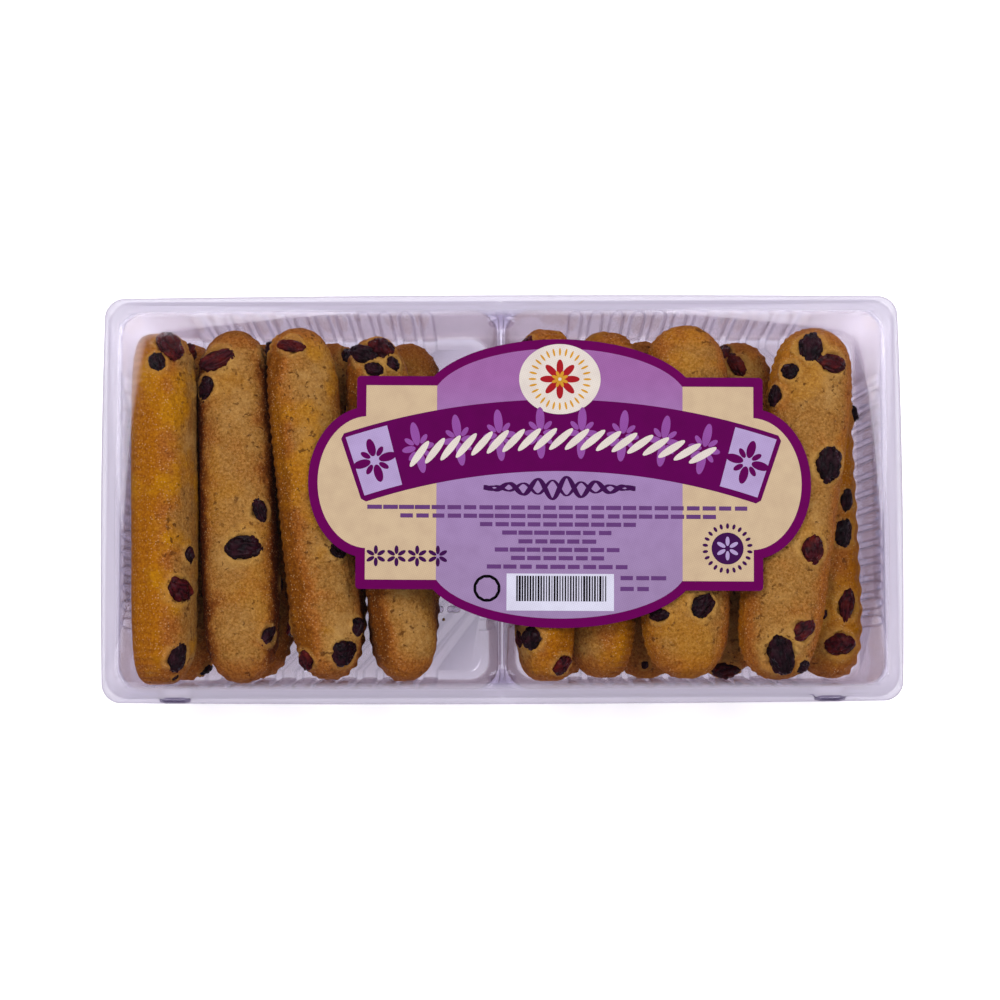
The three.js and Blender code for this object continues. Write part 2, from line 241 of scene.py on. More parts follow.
def cup_ring(inset, z):
    """One level of a compartment's wall, listed anticlockwise from the +X side's far corner. The
    flutes stand in from it, and their tops narrow to tall arches."""
    half_x, half_y = CUP_HALF[0] - inset, CUP_HALF[1] - inset
    radius = CUP_CORNER - inset / 2
    top = tray_top / MM
    over = max(z - (top - FLUTE_TOP - FLUTE_ARCH), 0) / FLUTE_ARCH
    width = math.sqrt(max(1 - over ** 2, FLUTE_LEAST ** 2))
    above_foot = float(smooth_step(FLOOR, FLOOR + 1.2 * FOOT[1], z))
    at_foot = FLUTE_AT_FOOT + (1 - FLUTE_AT_FOOT) * above_foot
    depth = FLUTE_DEPTH * at_foot * (width ** FLUTE_CURVE if over < 1 else 0)
    pocket_top = top - POCKET["depth"]
    in_pocket = float(smooth_step(pocket_top, pocket_top + POCKET["roof"], z)) * POCKET["reach"]
    ring = []
    for quarter in range(4):
        turn = quarter * math.pi / 2
        signs = np.array([1 if quarter in (0, 3) else -1, 1 if quarter < 2 else -1])
        for step in range(ARC_STEPS + 1):
            angle = turn + step / ARC_STEPS * math.pi / 2
            ring.append(signs * (half_x - radius, half_y - radius)
                        + radius * np.array([math.cos(angle), math.sin(angle)]))
        outward = np.array([-math.sin(turn), math.cos(turn)])
        along = np.array([-outward[1], outward[0]])
        pocket = quarter == 2
        places = wall_places("side" if quarter % 2 else "end", width, pocket)
        stand_in = np.tile(depth * (1 - FLUTE_POINTS ** 2) ** (FLUTE_CURVE / 2), (len(places), 1))
        if pocket:
            beside = POCKET["half"] * (1 - abs(FLUTE_POINTS))
            stand_in[-1] = -in_pocket * smooth_step(0, POCKET["edge"], beside)
        reach = (half_x if quarter % 2 else half_y) - stand_in.ravel()
        ring.extend(reach[:, None] * outward + places.ravel()[:, None] * along)
    return np.column_stack([ring, np.full(len(ring), z)])


def flange_ring(points, share, z):
    """A ring on the flange, part of the way from the rim to the flange's edge, along rays from the cup."""
    half_x, half_y = FLANGE_HALF
    rays = points / np.linalg.norm(points, axis=1)[:, None]
    reach_out = (half_x - CUP_CENTRE) / np.maximum(rays[:, 0], 1e-9)
    reach_web = CUP_CENTRE / np.maximum(-rays[:, 0], 1e-9)
    reach = np.minimum(np.minimum(reach_out, reach_web), half_y / np.maximum(abs(rays[:, 1]), 1e-9))
    edge = rays * reach[:, None]
    corner = np.array([half_x - CUP_CENTRE, half_y]) - FLANGE_CORNER
    beyond = np.column_stack([edge[:, 0] - corner[0], abs(edge[:, 1]) - corner[1]])
    rounded = (beyond > 0).all(axis=1)
    # Where the ray leaves through the round corner, it stops on the corner's arc.
    centre = np.column_stack([np.full(len(edge), corner[0]), np.sign(edge[:, 1]) * corner[1]])
    middle = (rays * centre).sum(axis=1)
    depth = FLANGE_CORNER ** 2 - (centre ** 2).sum(axis=1) + middle ** 2
    on_arc = rays * (middle + np.sqrt(np.maximum(depth, 0)))[:, None]
    edge[rounded] = on_arc[rounded]
    flat = points + (edge - points) * share
    return np.column_stack([flat, np.full(len(flat), z)])


def dimming_ring(ring):
    """How much the sheet dims what lies behind it at each point of a ring, from 0 to 1: where it curves
    along both edges of every flute, over their arched tops and round the rim, and along the far and
    near sides of the flange and the tops of those walls, where the grey is painted shade."""
    top = tray_top / MM
    z = ring[0, 2]
    edges = np.where(abs(abs(FLUTE_POINTS) - FLUTE_EDGE) < 0.01, BEND_AND_SHADE_GREY["edge"], 0.0)
    if top - FLUTE_TOP - 0.5 < z < top - FLUTE_TOP - 0.05:
        edges = np.full(len(FLUTE_POINTS), BEND_AND_SHADE_GREY["arch"])
    dimming = []
    for quarter in range(4):
        count = FLUTES["side" if quarter % 2 else "end"][0]
        dimming += [0.0] * (ARC_STEPS + 1) + list(edges) * count
    if z > top - FLUTE_TOP:
        if top - LEDGE_DROP - RIM_BEVEL * 1.01 < z < top - LEDGE_DROP - RIM_BEVEL * 0.1:
            return np.full(len(dimming), BEND_AND_SHADE_GREY["rim"])
        # Painted shade: the flange and the tops of the far and near walls turn greyer, standing in for the
        # shadow that lies under them.
        return BEND_AND_SHADE_GREY["flange"] * smooth_step(CUP_HALF[1] - 8, CUP_HALF[1] + 2, abs(ring[:, 1]))
    # The flutes are shallow at the foot, and their edges show less there.
    return np.array(dimming) * (float(smooth_step(FLOOR, FLOOR + FOOT[1], z)) * 0.6 + 0.4)


def loft(rings):
    """Points and faces of a skin through rings of equal length, the last one filled in."""
    around = len(rings[0])
    faces = []
    for ring in range(len(rings) - 1):
        for step in range(around):
            after = (step + 1) % around
            a, b = ring * around + step, ring * around + after
            faces.append([a, b, b + around, a + around])
    faces.append([(len(rings) - 1) * around + step for step in range(around)])
    return np.concatenate(rings), faces


def tray_half():
    """One compartment with its half of the flange, listed from the flange's edge down to the floor."""
    top = tray_top / MM
    rim = cup_ring(-RIM_BEVEL, top)[:, :2]
    ledge = cup_ring(-RIM_BEVEL - LEDGE, top)[:, :2]
    ledge[:, 0] = np.maximum(ledge[:, 0], -CUP_CENTRE + LEDGE_GAP)
    rings = [flange_ring(rim, 1, top - FLANGE_LIP), flange_ring(rim, FLANGE_EDGE_SHARE, top)]
    rings += [flange_ring(ledge, share, top) for share in FLANGE_SHARES]
    rings += [np.column_stack([ledge + (rim - ledge) * 0.25, np.full(len(rim), top - LEDGE_DROP)])]
    for step in range(BEVEL_STEPS + 1):
        angle = step / BEVEL_STEPS * math.pi / 2
        inset = -RIM_BEVEL + RIM_BEVEL * math.sin(angle)
        rings.append(cup_ring(inset, top - LEDGE_DROP - RIM_BEVEL * (1 - math.cos(angle))))
    foot_top = FLOOR + FOOT[1]
    for z in WALL_LEVELS + [foot_top]:
        rings.append(cup_ring((top - z) * WALL_DRAFT, z))
    wall_inset = (top - foot_top) * WALL_DRAFT
    for step in range(1, FOOT_STEPS + 1):
        angle = step / FOOT_STEPS * math.pi / 2
        inset = wall_inset + FOOT[0] * (1 - math.cos(angle))
        rings.append(cup_ring(inset, foot_top - FOOT[1] * math.sin(angle)))
    dimming = [dimming_ring(ring) for ring in rings]
    points, faces = loft(rings)
    points[:, 0] += CUP_CENTRE
    return points, faces, np.concatenate(dimming)


def stud(side):
    """A low lens-shaped swelling of the flange between the corners of the two compartments, with a
    sharp rim and a flat base just inside the flange."""
    turns = np.linspace(0, 2 * math.pi, STUD["points"], endpoint=False)
    rings = []
    for step in range(STUD["rings"]):
        reach = 1 - step / STUD["rings"]
        rise = STUD["height"] * math.sin(step / (STUD["rings"] - 1) * math.pi / 2)
        x = STUD["half"][0] * reach * np.cos(turns)
        y = side * STUD["y"] + STUD["half"][1] * reach * np.sin(turns)
        z = np.full(len(x), tray_top / MM - STUD["sunk"] + rise)
        rings.append(np.column_stack([x, y, z]))
    points, faces = loft(rings)
    faces.append(list(range(len(rings[0])))[::-1])
    made = new_piece("stud", points, faces)
    for edge in made.data.edges:
        edge.use_edge_sharp = max(edge.vertices) < len(rings[0])
    return made


def clear_sheet(name, through, at_edge, mirror_share, shine, haze, dimmed_tint=None):
    """A clear plastic sheet. Light passes straight through and is dimmed a little, more where the
    sheet is seen edge-on. On top lies a sharp, weak mirror, stronger at grazing angles. Where the
    sheet is stretched or creased it has turned a little milky, and the same milky layer paints highlights
    where it would catch the light."""
    material, tree = new_material(name)
    facing = add(tree, "LayerWeight", {"Blend": 0.5}).outputs["Facing"]
    steep = add(tree, "Math", (facing, 4.0), "POWER")
    tint = add(tree, "Mix", (steep, linear(through), linear(at_edge)), data_type="RGBA")
    if dimmed_tint:
        # A bend throws light aside and shows as a thin darker line. Along the far and near sides the flange
        # is greyer too: painted shade for the shadow under it.
        bend = add(tree, "Attribute", attribute_name="bend").outputs["Fac"]
        tint = add(tree, "Mix", (bend, tint, linear(dimmed_tint)), data_type="RGBA", blend_type="MULTIPLY")
    passing = add(tree, "BsdfTransparent", (tint,))
    mirror = add(tree, "BsdfAnisotropic", {"Color": linear("#f4f2fa"), "Roughness": shine})
    grazing = add(tree, "Math", (facing, 5.0), "POWER")
    share = add(tree, "Math", (grazing, 0.3, mirror_share), "MULTIPLY_ADD")
    surface = add(tree, "MixShader", (share, passing, mirror))
    # Milky layer: the real haze of stretched or creased sheet, plus painted highlights on the film's creases
    # and the ends of the tray's pads.
    milky = add(tree, "BsdfDiffuse", (linear(haze),))
    amount = add(tree, "Attribute", attribute_name="haze").outputs["Fac"]
    add(tree, "OutputMaterial", (add(tree, "MixShader", (amount, surface, milky)),))
    return material


def pad_rows():
    """Geometry nodes: rows of small rounded pads on a floor, with a highlight painted on both short ends of
    each.
    """
    tree, given = new_tree("pad_rows", Size="Vector", Pitch="Float", Rows="Int", Columns="Int",
                           Place="Vector", Material="Material")
    sides = []
    for count in ("Columns", "Rows"):
        gaps = add(tree, "Math", (given[count], 1.0), "SUBTRACT")
        sides.append(add(tree, "Math", (gaps, given["Pitch"]), "MULTIPLY"))
    grid = add(tree, "MeshGrid", (*sides, given["Columns"], given["Rows"]))
    ball = add(tree, "MeshUVSphere", {"Segments": 10, "Rings": 6, "Radius": 1.0})
    parts = add(tree, "SeparateXYZ", (add(tree, "InputPosition"),)).outputs
    squared = []
    for side in "XY":
        size = add(tree, "Math", (add(tree, "Math", (parts[side],), "ABSOLUTE"), PAD_SQUARENESS), "POWER")
        squared.append(add(tree, "Math", (size, add(tree, "Math", (parts[side],), "SIGN")), "MULTIPLY"))
    height = add(tree, "Math", (parts["Z"], -PAD_SUNK), "MAXIMUM")
    # Painted highlight: the two short ends of each pad are painted milky white where they would catch the
    # light.
    end = add(tree, "Math", (parts["Y"],), "ABSOLUTE")
    end = add(tree, "MapRange", (end, 0.35, 0.7, 0.0, PAD_HIGHLIGHT), interpolation_type="SMOOTHSTEP")
    ball = add(tree, "StoreNamedAttribute", {"Geometry": ball, "Name": "haze", "Value": end})
    shape = add(tree, "CombineXYZ", (*squared, height))
    ball = add(tree, "SetPosition", {"Geometry": ball, "Position": shape})
    half = add(tree, "VectorMath", (given["Size"], (0.5, 0.5, 1.0)), "MULTIPLY")
    rows = add(tree, "InstanceOnPoints", {"Points": grid, "Instance": ball, "Scale": half})
    rows = add(tree, "Transform", {"Geometry": rows, "Translation": given["Place"]})
    return end_tree(tree, given, rows)


# Polyester is clear and hard. Seen flat it all but vanishes, with a faint lilac tint. Its edges,
# bends and upright walls show as soft grey lines with thin bright ones beside them.
# The white milky colour shows only on the floor pads, as their painted highlights.
polyester = clear_sheet("thermoformed_polyester", "#f3f0f5", "#ac989c", 0.035, 0.08, "#ffffff", "#c8c4d2")
half_points, half_faces, half_dimming = tray_half()
all_points = np.concatenate([half_points, half_points * (-1, 1, 1)])
all_faces = half_faces + [[len(half_points) + i for i in reversed(face)] for face in half_faces]
shell = new_piece("tray_shell", all_points, all_faces)
dimming = np.tile(half_dimming, 2)
shell.data.attributes.new("bend", "FLOAT", "POINT").data.foreach_set("value", dimming)
weld = shell.modifiers.new("weld", "WELD")
weld.merge_threshold = 0.02 * MM
wall = shell.modifiers.new("sheet", "SOLIDIFY")
wall.thickness = TRAY_SHEET * MM
wall.offset = -1
freeze(shell)
shell.data.materials.append(polyester)
tray_pieces = [shell]
pads = pad_rows()
for side in (-1, 1):
    tray_pieces.append(stud(side))
    tray_pieces[-1].data.materials.append(polyester)
    tray_pieces.append(grow("pads", pads, {
        "Size": [s * MM for s in PAD["size"]], "Pitch": PAD["pitch"] * MM, "Rows": PAD["rows"],
        "Columns": PAD["columns"], "Place": (side * CUP_CENTRE * MM, 0, FLOOR * MM), "Material": polyester}))
tray = join("tray_clear", tray_pieces)
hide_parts("tray")
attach(tray, "root")


# ---------------------------------------------------------------------------------------
# Cakes. Sixteen sponge fingers baked in fluted moulds: a pale, porous dome that has risen
# over the rim, browned moulded sides with fine flutes, and an orange-brown edge between.
# They lie two deep in each compartment and have settled against each other.
# ---------------------------------------------------------------------------------------
CAKES = [
    # name, length, width, height, place of the middle of the rim's plane, yaw, roll and pitch, how
    # brown its moulded sides are, partly as painted shade, how yellow its stains are, and the pitch of its
    # flutes
    ("left_top_1", 99, 23, 17, (-94.8, -1.6, 30.4), 0.5, 78, 0, 0.1, 1.0, 2.9),
    ("left_top_2", 100, 22, 17, (-74.6, -0.8, 26.2), 2, 0, -1, 1.0, 0.3, 4.6),
    ("left_top_3", 99, 21.5, 17, (-52.6, -0.2, 31.9), 6, 34, 0.5, 0.65, 0.7, 3.0),
    ("left_top_4", 97.5, 20, 16.5, (-31.3, -1.7, 28), 6, 32, 0, 0.8, 0.2, 4.6),
    ("left_low_1", 97.5, 21, 15.5, (-91.3, -1, 10.4), 0, -10, 0, 0.6, 0.2, 4.8),
    ("left_low_2", 97, 21, 15.5, (-70.2, -0.8, 10), 0, 4, 0, 0.6, 0.2, 4.8),
    ("left_low_3", 97.5, 21, 15.5, (-49.2, -1, 11.5), 0, -9, 0, 0.6, 0.2, 4.8),
    ("left_low_4", 97, 21, 15.5, (-28, -0.9, 10.3), -1, 7, 0, 0.9, 0.1, 4.8),
    ("right_top_1", 99, 22, 15.4, (11.7, -1, 31), 0, -70, 0, 0.2, 0.6, 4.0),
    ("right_top_2", 98, 22, 16.5, (28.6, -0.6, 26.6), -1.5, -50, 0, 0.1, 0.5, 2.6),
    ("right_top_3", 99, 26, 17.5, (51.5, -0.4, 32.5), -0.5, 9, 0, 0.4, 0.4, 3.2),
    ("right_top_4", 99.5, 24.5, 17.5, (82.3, -1, 32.8), -8, 6, 0.5, 0.3, 0.4, 2.7),
    ("right_low_1", 97, 22.5, 15.5, (16.3, -0.8, 10.1), 0, 0, 0, 0.5, 0.2, 4.8),
    ("right_low_2", 97.5, 22.5, 15.5, (41.2, -0.9, 10.2), 0, 4, 0, 0.5, 0.2, 4.8),
    ("right_low_3", 97, 22.5, 15.5, (66.1, -0.9, 11), -3.5, -6, 0, 0.5, 0.2, 4.8),
    ("right_low_4", 98, 22.5, 16.5, (91.7, -1, 14.6), 2, -45, -1, 0.1, 0.5, 6.0),
]
RIM_SHARE = 0.5
CAKE_STEPS = {"top": (240, 128), "low": (120, 64)}
ROUND_ENDS = 7.5
DOME_CURVE = 2 / 2.3
DOME_FALL = 0.8
MOULD_CURVE = 2 / 3.2
MOULD_FALL = 0.3
MOULD_SLOPE = 0.16
FLUTE_IN = {"top": 0.22, "low": 0.4}
LIP = 0.04
LUMPS = 1.5
LUMP_SIZE = 15
CRUMB = 0.9
CRUMB_SIZE = 2.6
PORE_DEPTH = 0.55
PORE_PITCH = 3.4
PIT = 1.2

# Raisins that break the crust, as seen from above: x, y, length, width, turn of the long side
# from the X axis, and whether the skin is red or nearly black.
RAISINS = [
    (-92.6, 43.6, 10.3, 7.5, 95, "red"), (-95.9, 38.5, 6.4, 4.6, 100, "dark"),
    (-87.6, -15.1, 5.5, 4.6, 90, "dark"), (-89.4, -24.8, 8.6, 7.0, 160, "red"),
    (-90.1, -43.6, 8.6, 5.3, 80, "dark"), (-91.2, -49.0, 2.6, 1.8, 0, "dark"),
    (-80.3, 40.3, 10.7, 5.6, 18, "red"), (-83.3, 32.3, 8.6, 4.6, 70, "dark"),
    (-67.7, -2.6, 7.6, 4.2, -70, "dark"), (-72.2, -13.0, 10.4, 6.6, 8, "dark"),
    (-65.5, -37.6, 7.0, 3.4, 45, "dark"),
    (-58.6, 43.1, 8.6, 3.6, -12, "red"), (-45.5, -14.0, 6.1, 4.6, -30, "dark"),
    (-44.0, -42.5, 8.0, 7.0, 30, "dark"), (-40.4, -35.3, 6.0, 4.2, 60, "dark"),
    (-44.6, 43.6, 6.2, 3.2, 70, "dark"), (-38.6, 41.4, 8.4, 5.4, -25, "dark"),
    (-34.0, 43.4, 7.6, 6.6, -30, "red"), (-35.5, 36.9, 6.0, 4.0, -10, "dark"),
    (-30.6, 38.8, 5.0, 4.0, -50, "dark"),
    (-85.5, -46.8, 5.2, 3.5, -30, "dark"), (-54.6, -44.2, 7.0, 4.4, 70, "red"),
    (8.2, -38.6, 7.4, 6.3, 80, "dark"), (4.9, -38.6, 5.4, 3.8, -50, "red"),
    (7.4, 44.2, 5.0, 4.2, 0, "red"), (16.5, -46.2, 7.0, 4.8, 55, "red"),
    (40.7, -46.0, 3.0, 2.2, 90, "dark"),
    (55.4, -29.8, 8.6, 6.0, 50, "dark"), (43.4, -32.1, 6.1, 4.2, 0, "dark"),
    (64.6, 44.6, 6.6, 3.2, -65, "red"), (68.0, 40.0, 8.2, 4.4, -62, "red"),
    (86.3, 41.7, 10.0, 6.4, 85, "dark"), (92.0, 37.7, 9.2, 5.3, -10, "red"),
    (80.4, 35.2, 5.6, 5.0, 20, "dark"), (76.2, 28.7, 6.6, 4.4, 60, "dark"),
    (91.0, 9.2, 10.8, 7.4, 80, "dark"), (86.0, -14.2, 8.8, 6.6, 80, "red"),
    (83.1, -36.8, 8.3, 4.8, 35, "red"), (77.1, -43.6, 12.4, 7.6, -75, "dark"),
    (98.2, 0.6, 7.4, 3.8, 80, "dark"), (97.0, -8.8, 8.8, 5.2, 80, "dark"),
    (97.6, -29.6, 10.2, 4.8, 85, "red"), (95.3, -40.5, 9.0, 6.4, 10, "red"),
    (90.6, -31.9, 4.5, 3.0, 0, "dark"), (83.4, -46.6, 5.0, 4.2, 0, "dark"),
    (64.0, -47.6, 8.4, 5.4, 10, "red"),
]
RAISIN_THICKNESS = 0.72
RAISIN_SUNK = 0.08
UNDER_FILM = 42.4
# Raisins on the sides and undersides: how many on a cake, tries, room to the next cake, distance
# apart, half lengths, widths as a share of the length, and the share of red ones.
UNDERSIDE = {"each": 3, "tries": 60, "room": 2.0, "apart": 9, "half": (3.2, 4.8), "slim": (0.55, 0.75),
             "red": 0.4, "along": 0.92, "seed": 11}


def crust_seats():
    """Where each raisin breaks a cake's crust: its place, the axes of its long side and of the
    crust, its half sizes and its kind. Those seen from above are found by looking straight down.
    The rest are strewn over the cakes' sides and undersides, where no other cake is close."""
    skins = {}
    for node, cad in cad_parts.items():
        if node.startswith("cake"):
            faces = [tuple(polygon.vertices) for polygon in cad.data.polygons]
            skins[node] = BVHTree.FromPolygons([vertex.co for vertex in cad.data.vertices], faces)
    found = []
    for x, y, length, width, turn, kind in RAISINS:
        start = Vector((x * MM, y * MM, 2 * tray_top))
        hits = [skin.ray_cast(start, Vector((0, 0, -1))) for skin in skins.values()]
        point, normal = min((hit for hit in hits if hit[0]), key=lambda hit: hit[3])[:2]
        side = Vector((math.cos(math.radians(turn)), math.sin(math.radians(turn)), 0))
        found.append((point, normal, side, length / 2, width / 2, kind))
    chance = np.random.default_rng(UNDERSIDE["seed"])
    for node, skin in skins.items():
        low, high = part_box(node)
        middle = (low + high) / 2
        placed = 0
        for _ in range(UNDERSIDE["tries"]):
            angle = chance.uniform(0, 2 * math.pi)
            start = Vector((middle.x, chance.uniform(low.y, high.y) * UNDERSIDE["along"], middle.z))
            outward = Vector((math.cos(angle), 0, -abs(math.sin(angle))))
            point, normal = skin.ray_cast(start + 2 * tray_top * outward, -outward)[:2]
            if point is None or placed == UNDERSIDE["each"]:
                continue
            room = [other.find_nearest(point)[3] for name, other in skins.items() if name != node]
            apart = [(point - seat[0]).length for seat in found]
            if min(room) > UNDERSIDE["room"] * MM and min(apart) > UNDERSIDE["apart"] * MM:
                side = Vector(chance.normal(size=3))
                half = chance.uniform(*UNDERSIDE["half"])
                kind = "red" if chance.random() < UNDERSIDE["red"] else "dark"
                found.append((point, normal, side, half, half * chance.uniform(*UNDERSIDE["slim"]), kind))
                placed += 1
    return found


def mark_seats(name, chosen):
    """A cloud of points with the raisins' half sizes, turns and pits, for the geometry trees."""
    marks = []
    sizes = []
    turns = []
    pits = []
    for point, normal, side, half_length, half_width, _ in chosen:
        long_side = (side - normal * side.dot(normal)).normalized()
        axes = Matrix((long_side, normal.cross(long_side), normal)).transposed()
        half_height = half_width * RAISIN_THICKNESS
        # The film presses in the raisins that would stand up through it.
        sunk = max(RAISIN_SUNK * half_width, point.z / MM + half_height - UNDER_FILM)
        marks.append(np.array(point - normal * (sunk * MM)) / MM)
        sizes.append([half_length * MM, half_width * MM, half_height * MM])
        turns.append(list(axes.to_euler("XYZ")))
        pits.append((half_length + half_width) / 2 * MM)
    made = new_piece(name, marks, [])
    for mark, kind, field, values in (("half", "FLOAT_VECTOR", "vector", sizes),
                                      ("turn", "FLOAT_VECTOR", "vector", turns),
                                      ("pit", "FLOAT", "value", pits)):
        made.data.attributes.new(mark, kind, "POINT").data.foreach_set(field, np.array(values).ravel())
    return made


def swell_out(tree, geometry, amount):
    """Moves every point of a geometry outwards along its normal."""
    offset = add(tree, "VectorMath", {"Vector": add(tree, "InputNormal"), "Scale": amount}, "SCALE")
    return add(tree, "SetPosition", {"Geometry": geometry, "Offset": offset})


def baked_finger():
    """Geometry nodes: one baked finger. A grid is rolled into a closed skin whose width, dome and
    moulded sides follow the distance from its middle. Then flutes, lumps, pores and the torn
    crumb round each raisin are pressed into it."""
    tree, given = new_tree("baked_finger", Along="Int", Around="Int", Length="Float", Width="Float",
                           Above="Float", Below="Float", Flute="Float", Depth="Float", Lip="Float",
                           Lumps="Float", Crumb="Float", Pit="Float", Brown="Float", Yolk="Float",
                           Turn="Vector", Place="Vector", Seats="Object", Material="Material")

    # The grid's own coordinates run from tip to tip, closer together at the tips, and round.
    grid = add(tree, "MeshGrid", (1.0, 1.0, given["Along"], given["Around"]))
    flat = add(tree, "SeparateXYZ", (grid.outputs["UV Map"],)).outputs
    along = add(tree, "Math", (flat["X"], math.pi, -math.pi / 2), "MULTIPLY_ADD")
    along = add(tree, "Math", (along,), "SINE")
    tip = add(tree, "Math", (along,), "ABSOLUTE")
    taper = add(tree, "Math", (1.0, add(tree, "Math", (tip, ROUND_ENDS), "POWER")), "SUBTRACT")
    taper = add(tree, "Math", (taper,), "SQRT")
    angle = add(tree, "Math", (flat["Y"], 2 * math.pi), "MULTIPLY")
    across = add(tree, "Math", (angle,), "COSINE")
    upward = add(tree, "Math", (angle,), "SINE")
    moulded = add(tree, "Math", (upward, 0.0), "LESS_THAN")

    # Each section is flatter than an ellipse, more so on the moulded side.
    curve = add(tree, "Math", (moulded, MOULD_CURVE - DOME_CURVE, DOME_CURVE), "MULTIPLY_ADD")
    lift = add(tree, "Math", (add(tree, "Math", (upward,), "ABSOLUTE"), curve), "POWER")
    side = add(tree, "Math", (add(tree, "Math", (across,), "ABSOLUTE"), curve), "POWER")
    side = add(tree, "Math", (side, add(tree, "Math", (across,), "SIGN")), "MULTIPLY")
    rise = add(tree, "Math", (lift, add(tree, "Math", (upward,), "SIGN")), "MULTIPLY")

    # The moulded part narrows downwards, and the rim stands out as a thin lip.
    sloped = add(tree, "Math", (add(tree, "Math", (lift, moulded), "MULTIPLY"), -MOULD_SLOPE, 1.0),
                 "MULTIPLY_ADD")
    rim = add(tree, "MapRange", (add(tree, "Math", (rise,), "ABSOLUTE"), 0.3, 0.0),
              interpolation_type="SMOOTHERSTEP")
    sloped = add(tree, "Math", (rim, given["Lip"], sloped), "MULTIPLY_ADD")
    half = add(tree, "Math", (given["Width"], 0.5), "MULTIPLY")
    half = add(tree, "Math", (half, add(tree, "Math", (1.0, given["Lip"]), "SUBTRACT")), "MULTIPLY")
    x = add(tree, "Math", (add(tree, "Math", (taper, side), "MULTIPLY"), sloped), "MULTIPLY")
    x = add(tree, "Math", (x, half), "MULTIPLY")
    y = add(tree, "Math", (along, add(tree, "Math", (given["Length"], 0.5), "MULTIPLY")), "MULTIPLY")
    dome = add(tree, "Math", (add(tree, "Math", (taper, DOME_FALL), "POWER"), given["Above"]), "MULTIPLY")
    mould = add(tree, "Math", (add(tree, "Math", (taper, MOULD_FALL), "POWER"), given["Below"]), "MULTIPLY")
    height = add(tree, "Mix", (moulded, dome, mould), data_type="FLOAT")
    z = add(tree, "Math", (height, rise), "MULTIPLY")

    # Flutes run down the moulded sides, all the way round the outline, and fade out on the dome.
    round_tip = add(tree, "Math", (add(tree, "Math", (1.0, taper), "SUBTRACT"), half), "MULTIPLY")
    run = add(tree, "Math", (y,), "ABSOLUTE")
    run = add(tree, "Math", (run, round_tip), "ADD")
    phase = add(tree, "Math", (add(tree, "Math", (run, given["Flute"]), "DIVIDE"), 2 * math.pi), "MULTIPLY")
    wave = add(tree, "Math", (add(tree, "Math", (phase,), "COSINE"), given["Depth"]), "MULTIPLY")
    wave = add(tree, "Math", (wave, add(tree, "MapRange", (rise, 0.16, -0.02))), "MULTIPLY")
    wave = add(tree, "Math", (wave, add(tree, "MapRange", (rise, -0.99, -0.8))), "MULTIPLY")
    # They end just short of the tips, so that each tip closes in one point.
    wave = add(tree, "Math", (wave, add(tree, "MapRange", (taper, 0.0, 0.15))), "MULTIPLY")
    outward = add(tree, "CombineXYZ", (side, add(tree, "Math", (along, 9.0), "POWER"), 0.0))
    outward = add(tree, "VectorMath", (outward,), "NORMALIZE")
    ripple = add(tree, "VectorMath", {"Vector": outward, "Scale": wave}, "SCALE")
    shape = add(tree, "VectorMath", (add(tree, "CombineXYZ", (x, y, z)), ripple), "ADD")
    body = add(tree, "SetPosition", {"Geometry": grid.outputs["Mesh"], "Position": shape})
    for name, value in (("rise", rise), ("tip", tip), ("brown", given["Brown"]), ("yolk", given["Yolk"])):
        body = add(tree, "StoreNamedAttribute", {"Geometry": body, "Name": name, "Value": value})
    body = add(tree, "MergeByDistance", {"Geometry": body, "Distance": 0.01 * MM})
    body = add(tree, "Transform", {"Geometry": body, "Translation": given["Place"],
                                   "Rotation": given["Turn"]})

    # Lumps of the risen batter, its uneven crumb, and open pores on the dome.
    where = add(tree, "InputPosition")
    rise = add(tree, "InputNamedAttribute", ("rise",))
    domed = add(tree, "MapRange", (rise, -0.3, 0.4, 0.25, 1.0))
    lumps = add(tree, "TexNoise", {"Vector": where, "Scale": 1 / (LUMP_SIZE * MM), "Detail": 3.0})
    swell = add(tree, "Math", (add(tree, "Math", (lumps, 0.5), "SUBTRACT"), given["Lumps"]), "MULTIPLY")
    crumb = add(tree, "TexNoise", {"Vector": where, "Scale": 1 / (CRUMB_SIZE * MM), "Detail": 2.0})
    crumb = add(tree, "Math", (crumb, 0.5), "SUBTRACT")
    swell = add(tree, "Math", (crumb, given["Crumb"], swell), "MULTIPLY_ADD")
    pores = add(tree, "TexVoronoi", {"Vector": where, "Scale": 1 / (PORE_PITCH * MM)}).outputs["Distance"]
    pores = add(tree, "MapRange", (pores, 0.24, 0.06, 0.0, -PORE_DEPTH * MM),
                interpolation_type="SMOOTHSTEP")
    swell = add(tree, "Math", (add(tree, "Math", (swell, pores), "ADD"), domed), "MULTIPLY")

    # Round each raisin the crumb is pressed in, with a torn edge that stands up.
    seats = add(tree, "ObjectInfo", {"Object": given["Seats"]}).outputs["Geometry"]
    nearest = add(tree, "SampleNearest", (seats,))
    seat = add(tree, "SampleIndex", (seats, where, nearest), data_type="FLOAT_VECTOR")
    pit = add(tree, "SampleIndex", (seats, add(tree, "InputNamedAttribute", ("pit",)), nearest))
    away = add(tree, "VectorMath", (where, seat), "DISTANCE")
    away = add(tree, "Math", (crumb, 0.9, add(tree, "Math", (away, pit), "DIVIDE")), "MULTIPLY_ADD")
    inside = add(tree, "MapRange", (away, 1.0, 0.5), interpolation_type="SMOOTHSTEP")
    edge = add(tree, "Math", (add(tree, "Math", (away, 1.12), "SUBTRACT"),), "ABSOLUTE")
    edge = add(tree, "MapRange", (edge, 0.3, 0.0, 0.0, 0.45), interpolation_type="SMOOTHSTEP")
    pressed = add(tree, "Math", (edge, inside), "SUBTRACT")
    swell = add(tree, "Math", (pressed, given["Pit"], swell), "MULTIPLY_ADD")
    torn = add(tree, "MapRange", (away, 1.6, 1.05), interpolation_type="SMOOTHSTEP")
    body = add(tree, "StoreNamedAttribute", {"Geometry": body, "Name": "torn", "Value": torn})
    return end_tree(tree, given, swell_out(tree, body, swell))


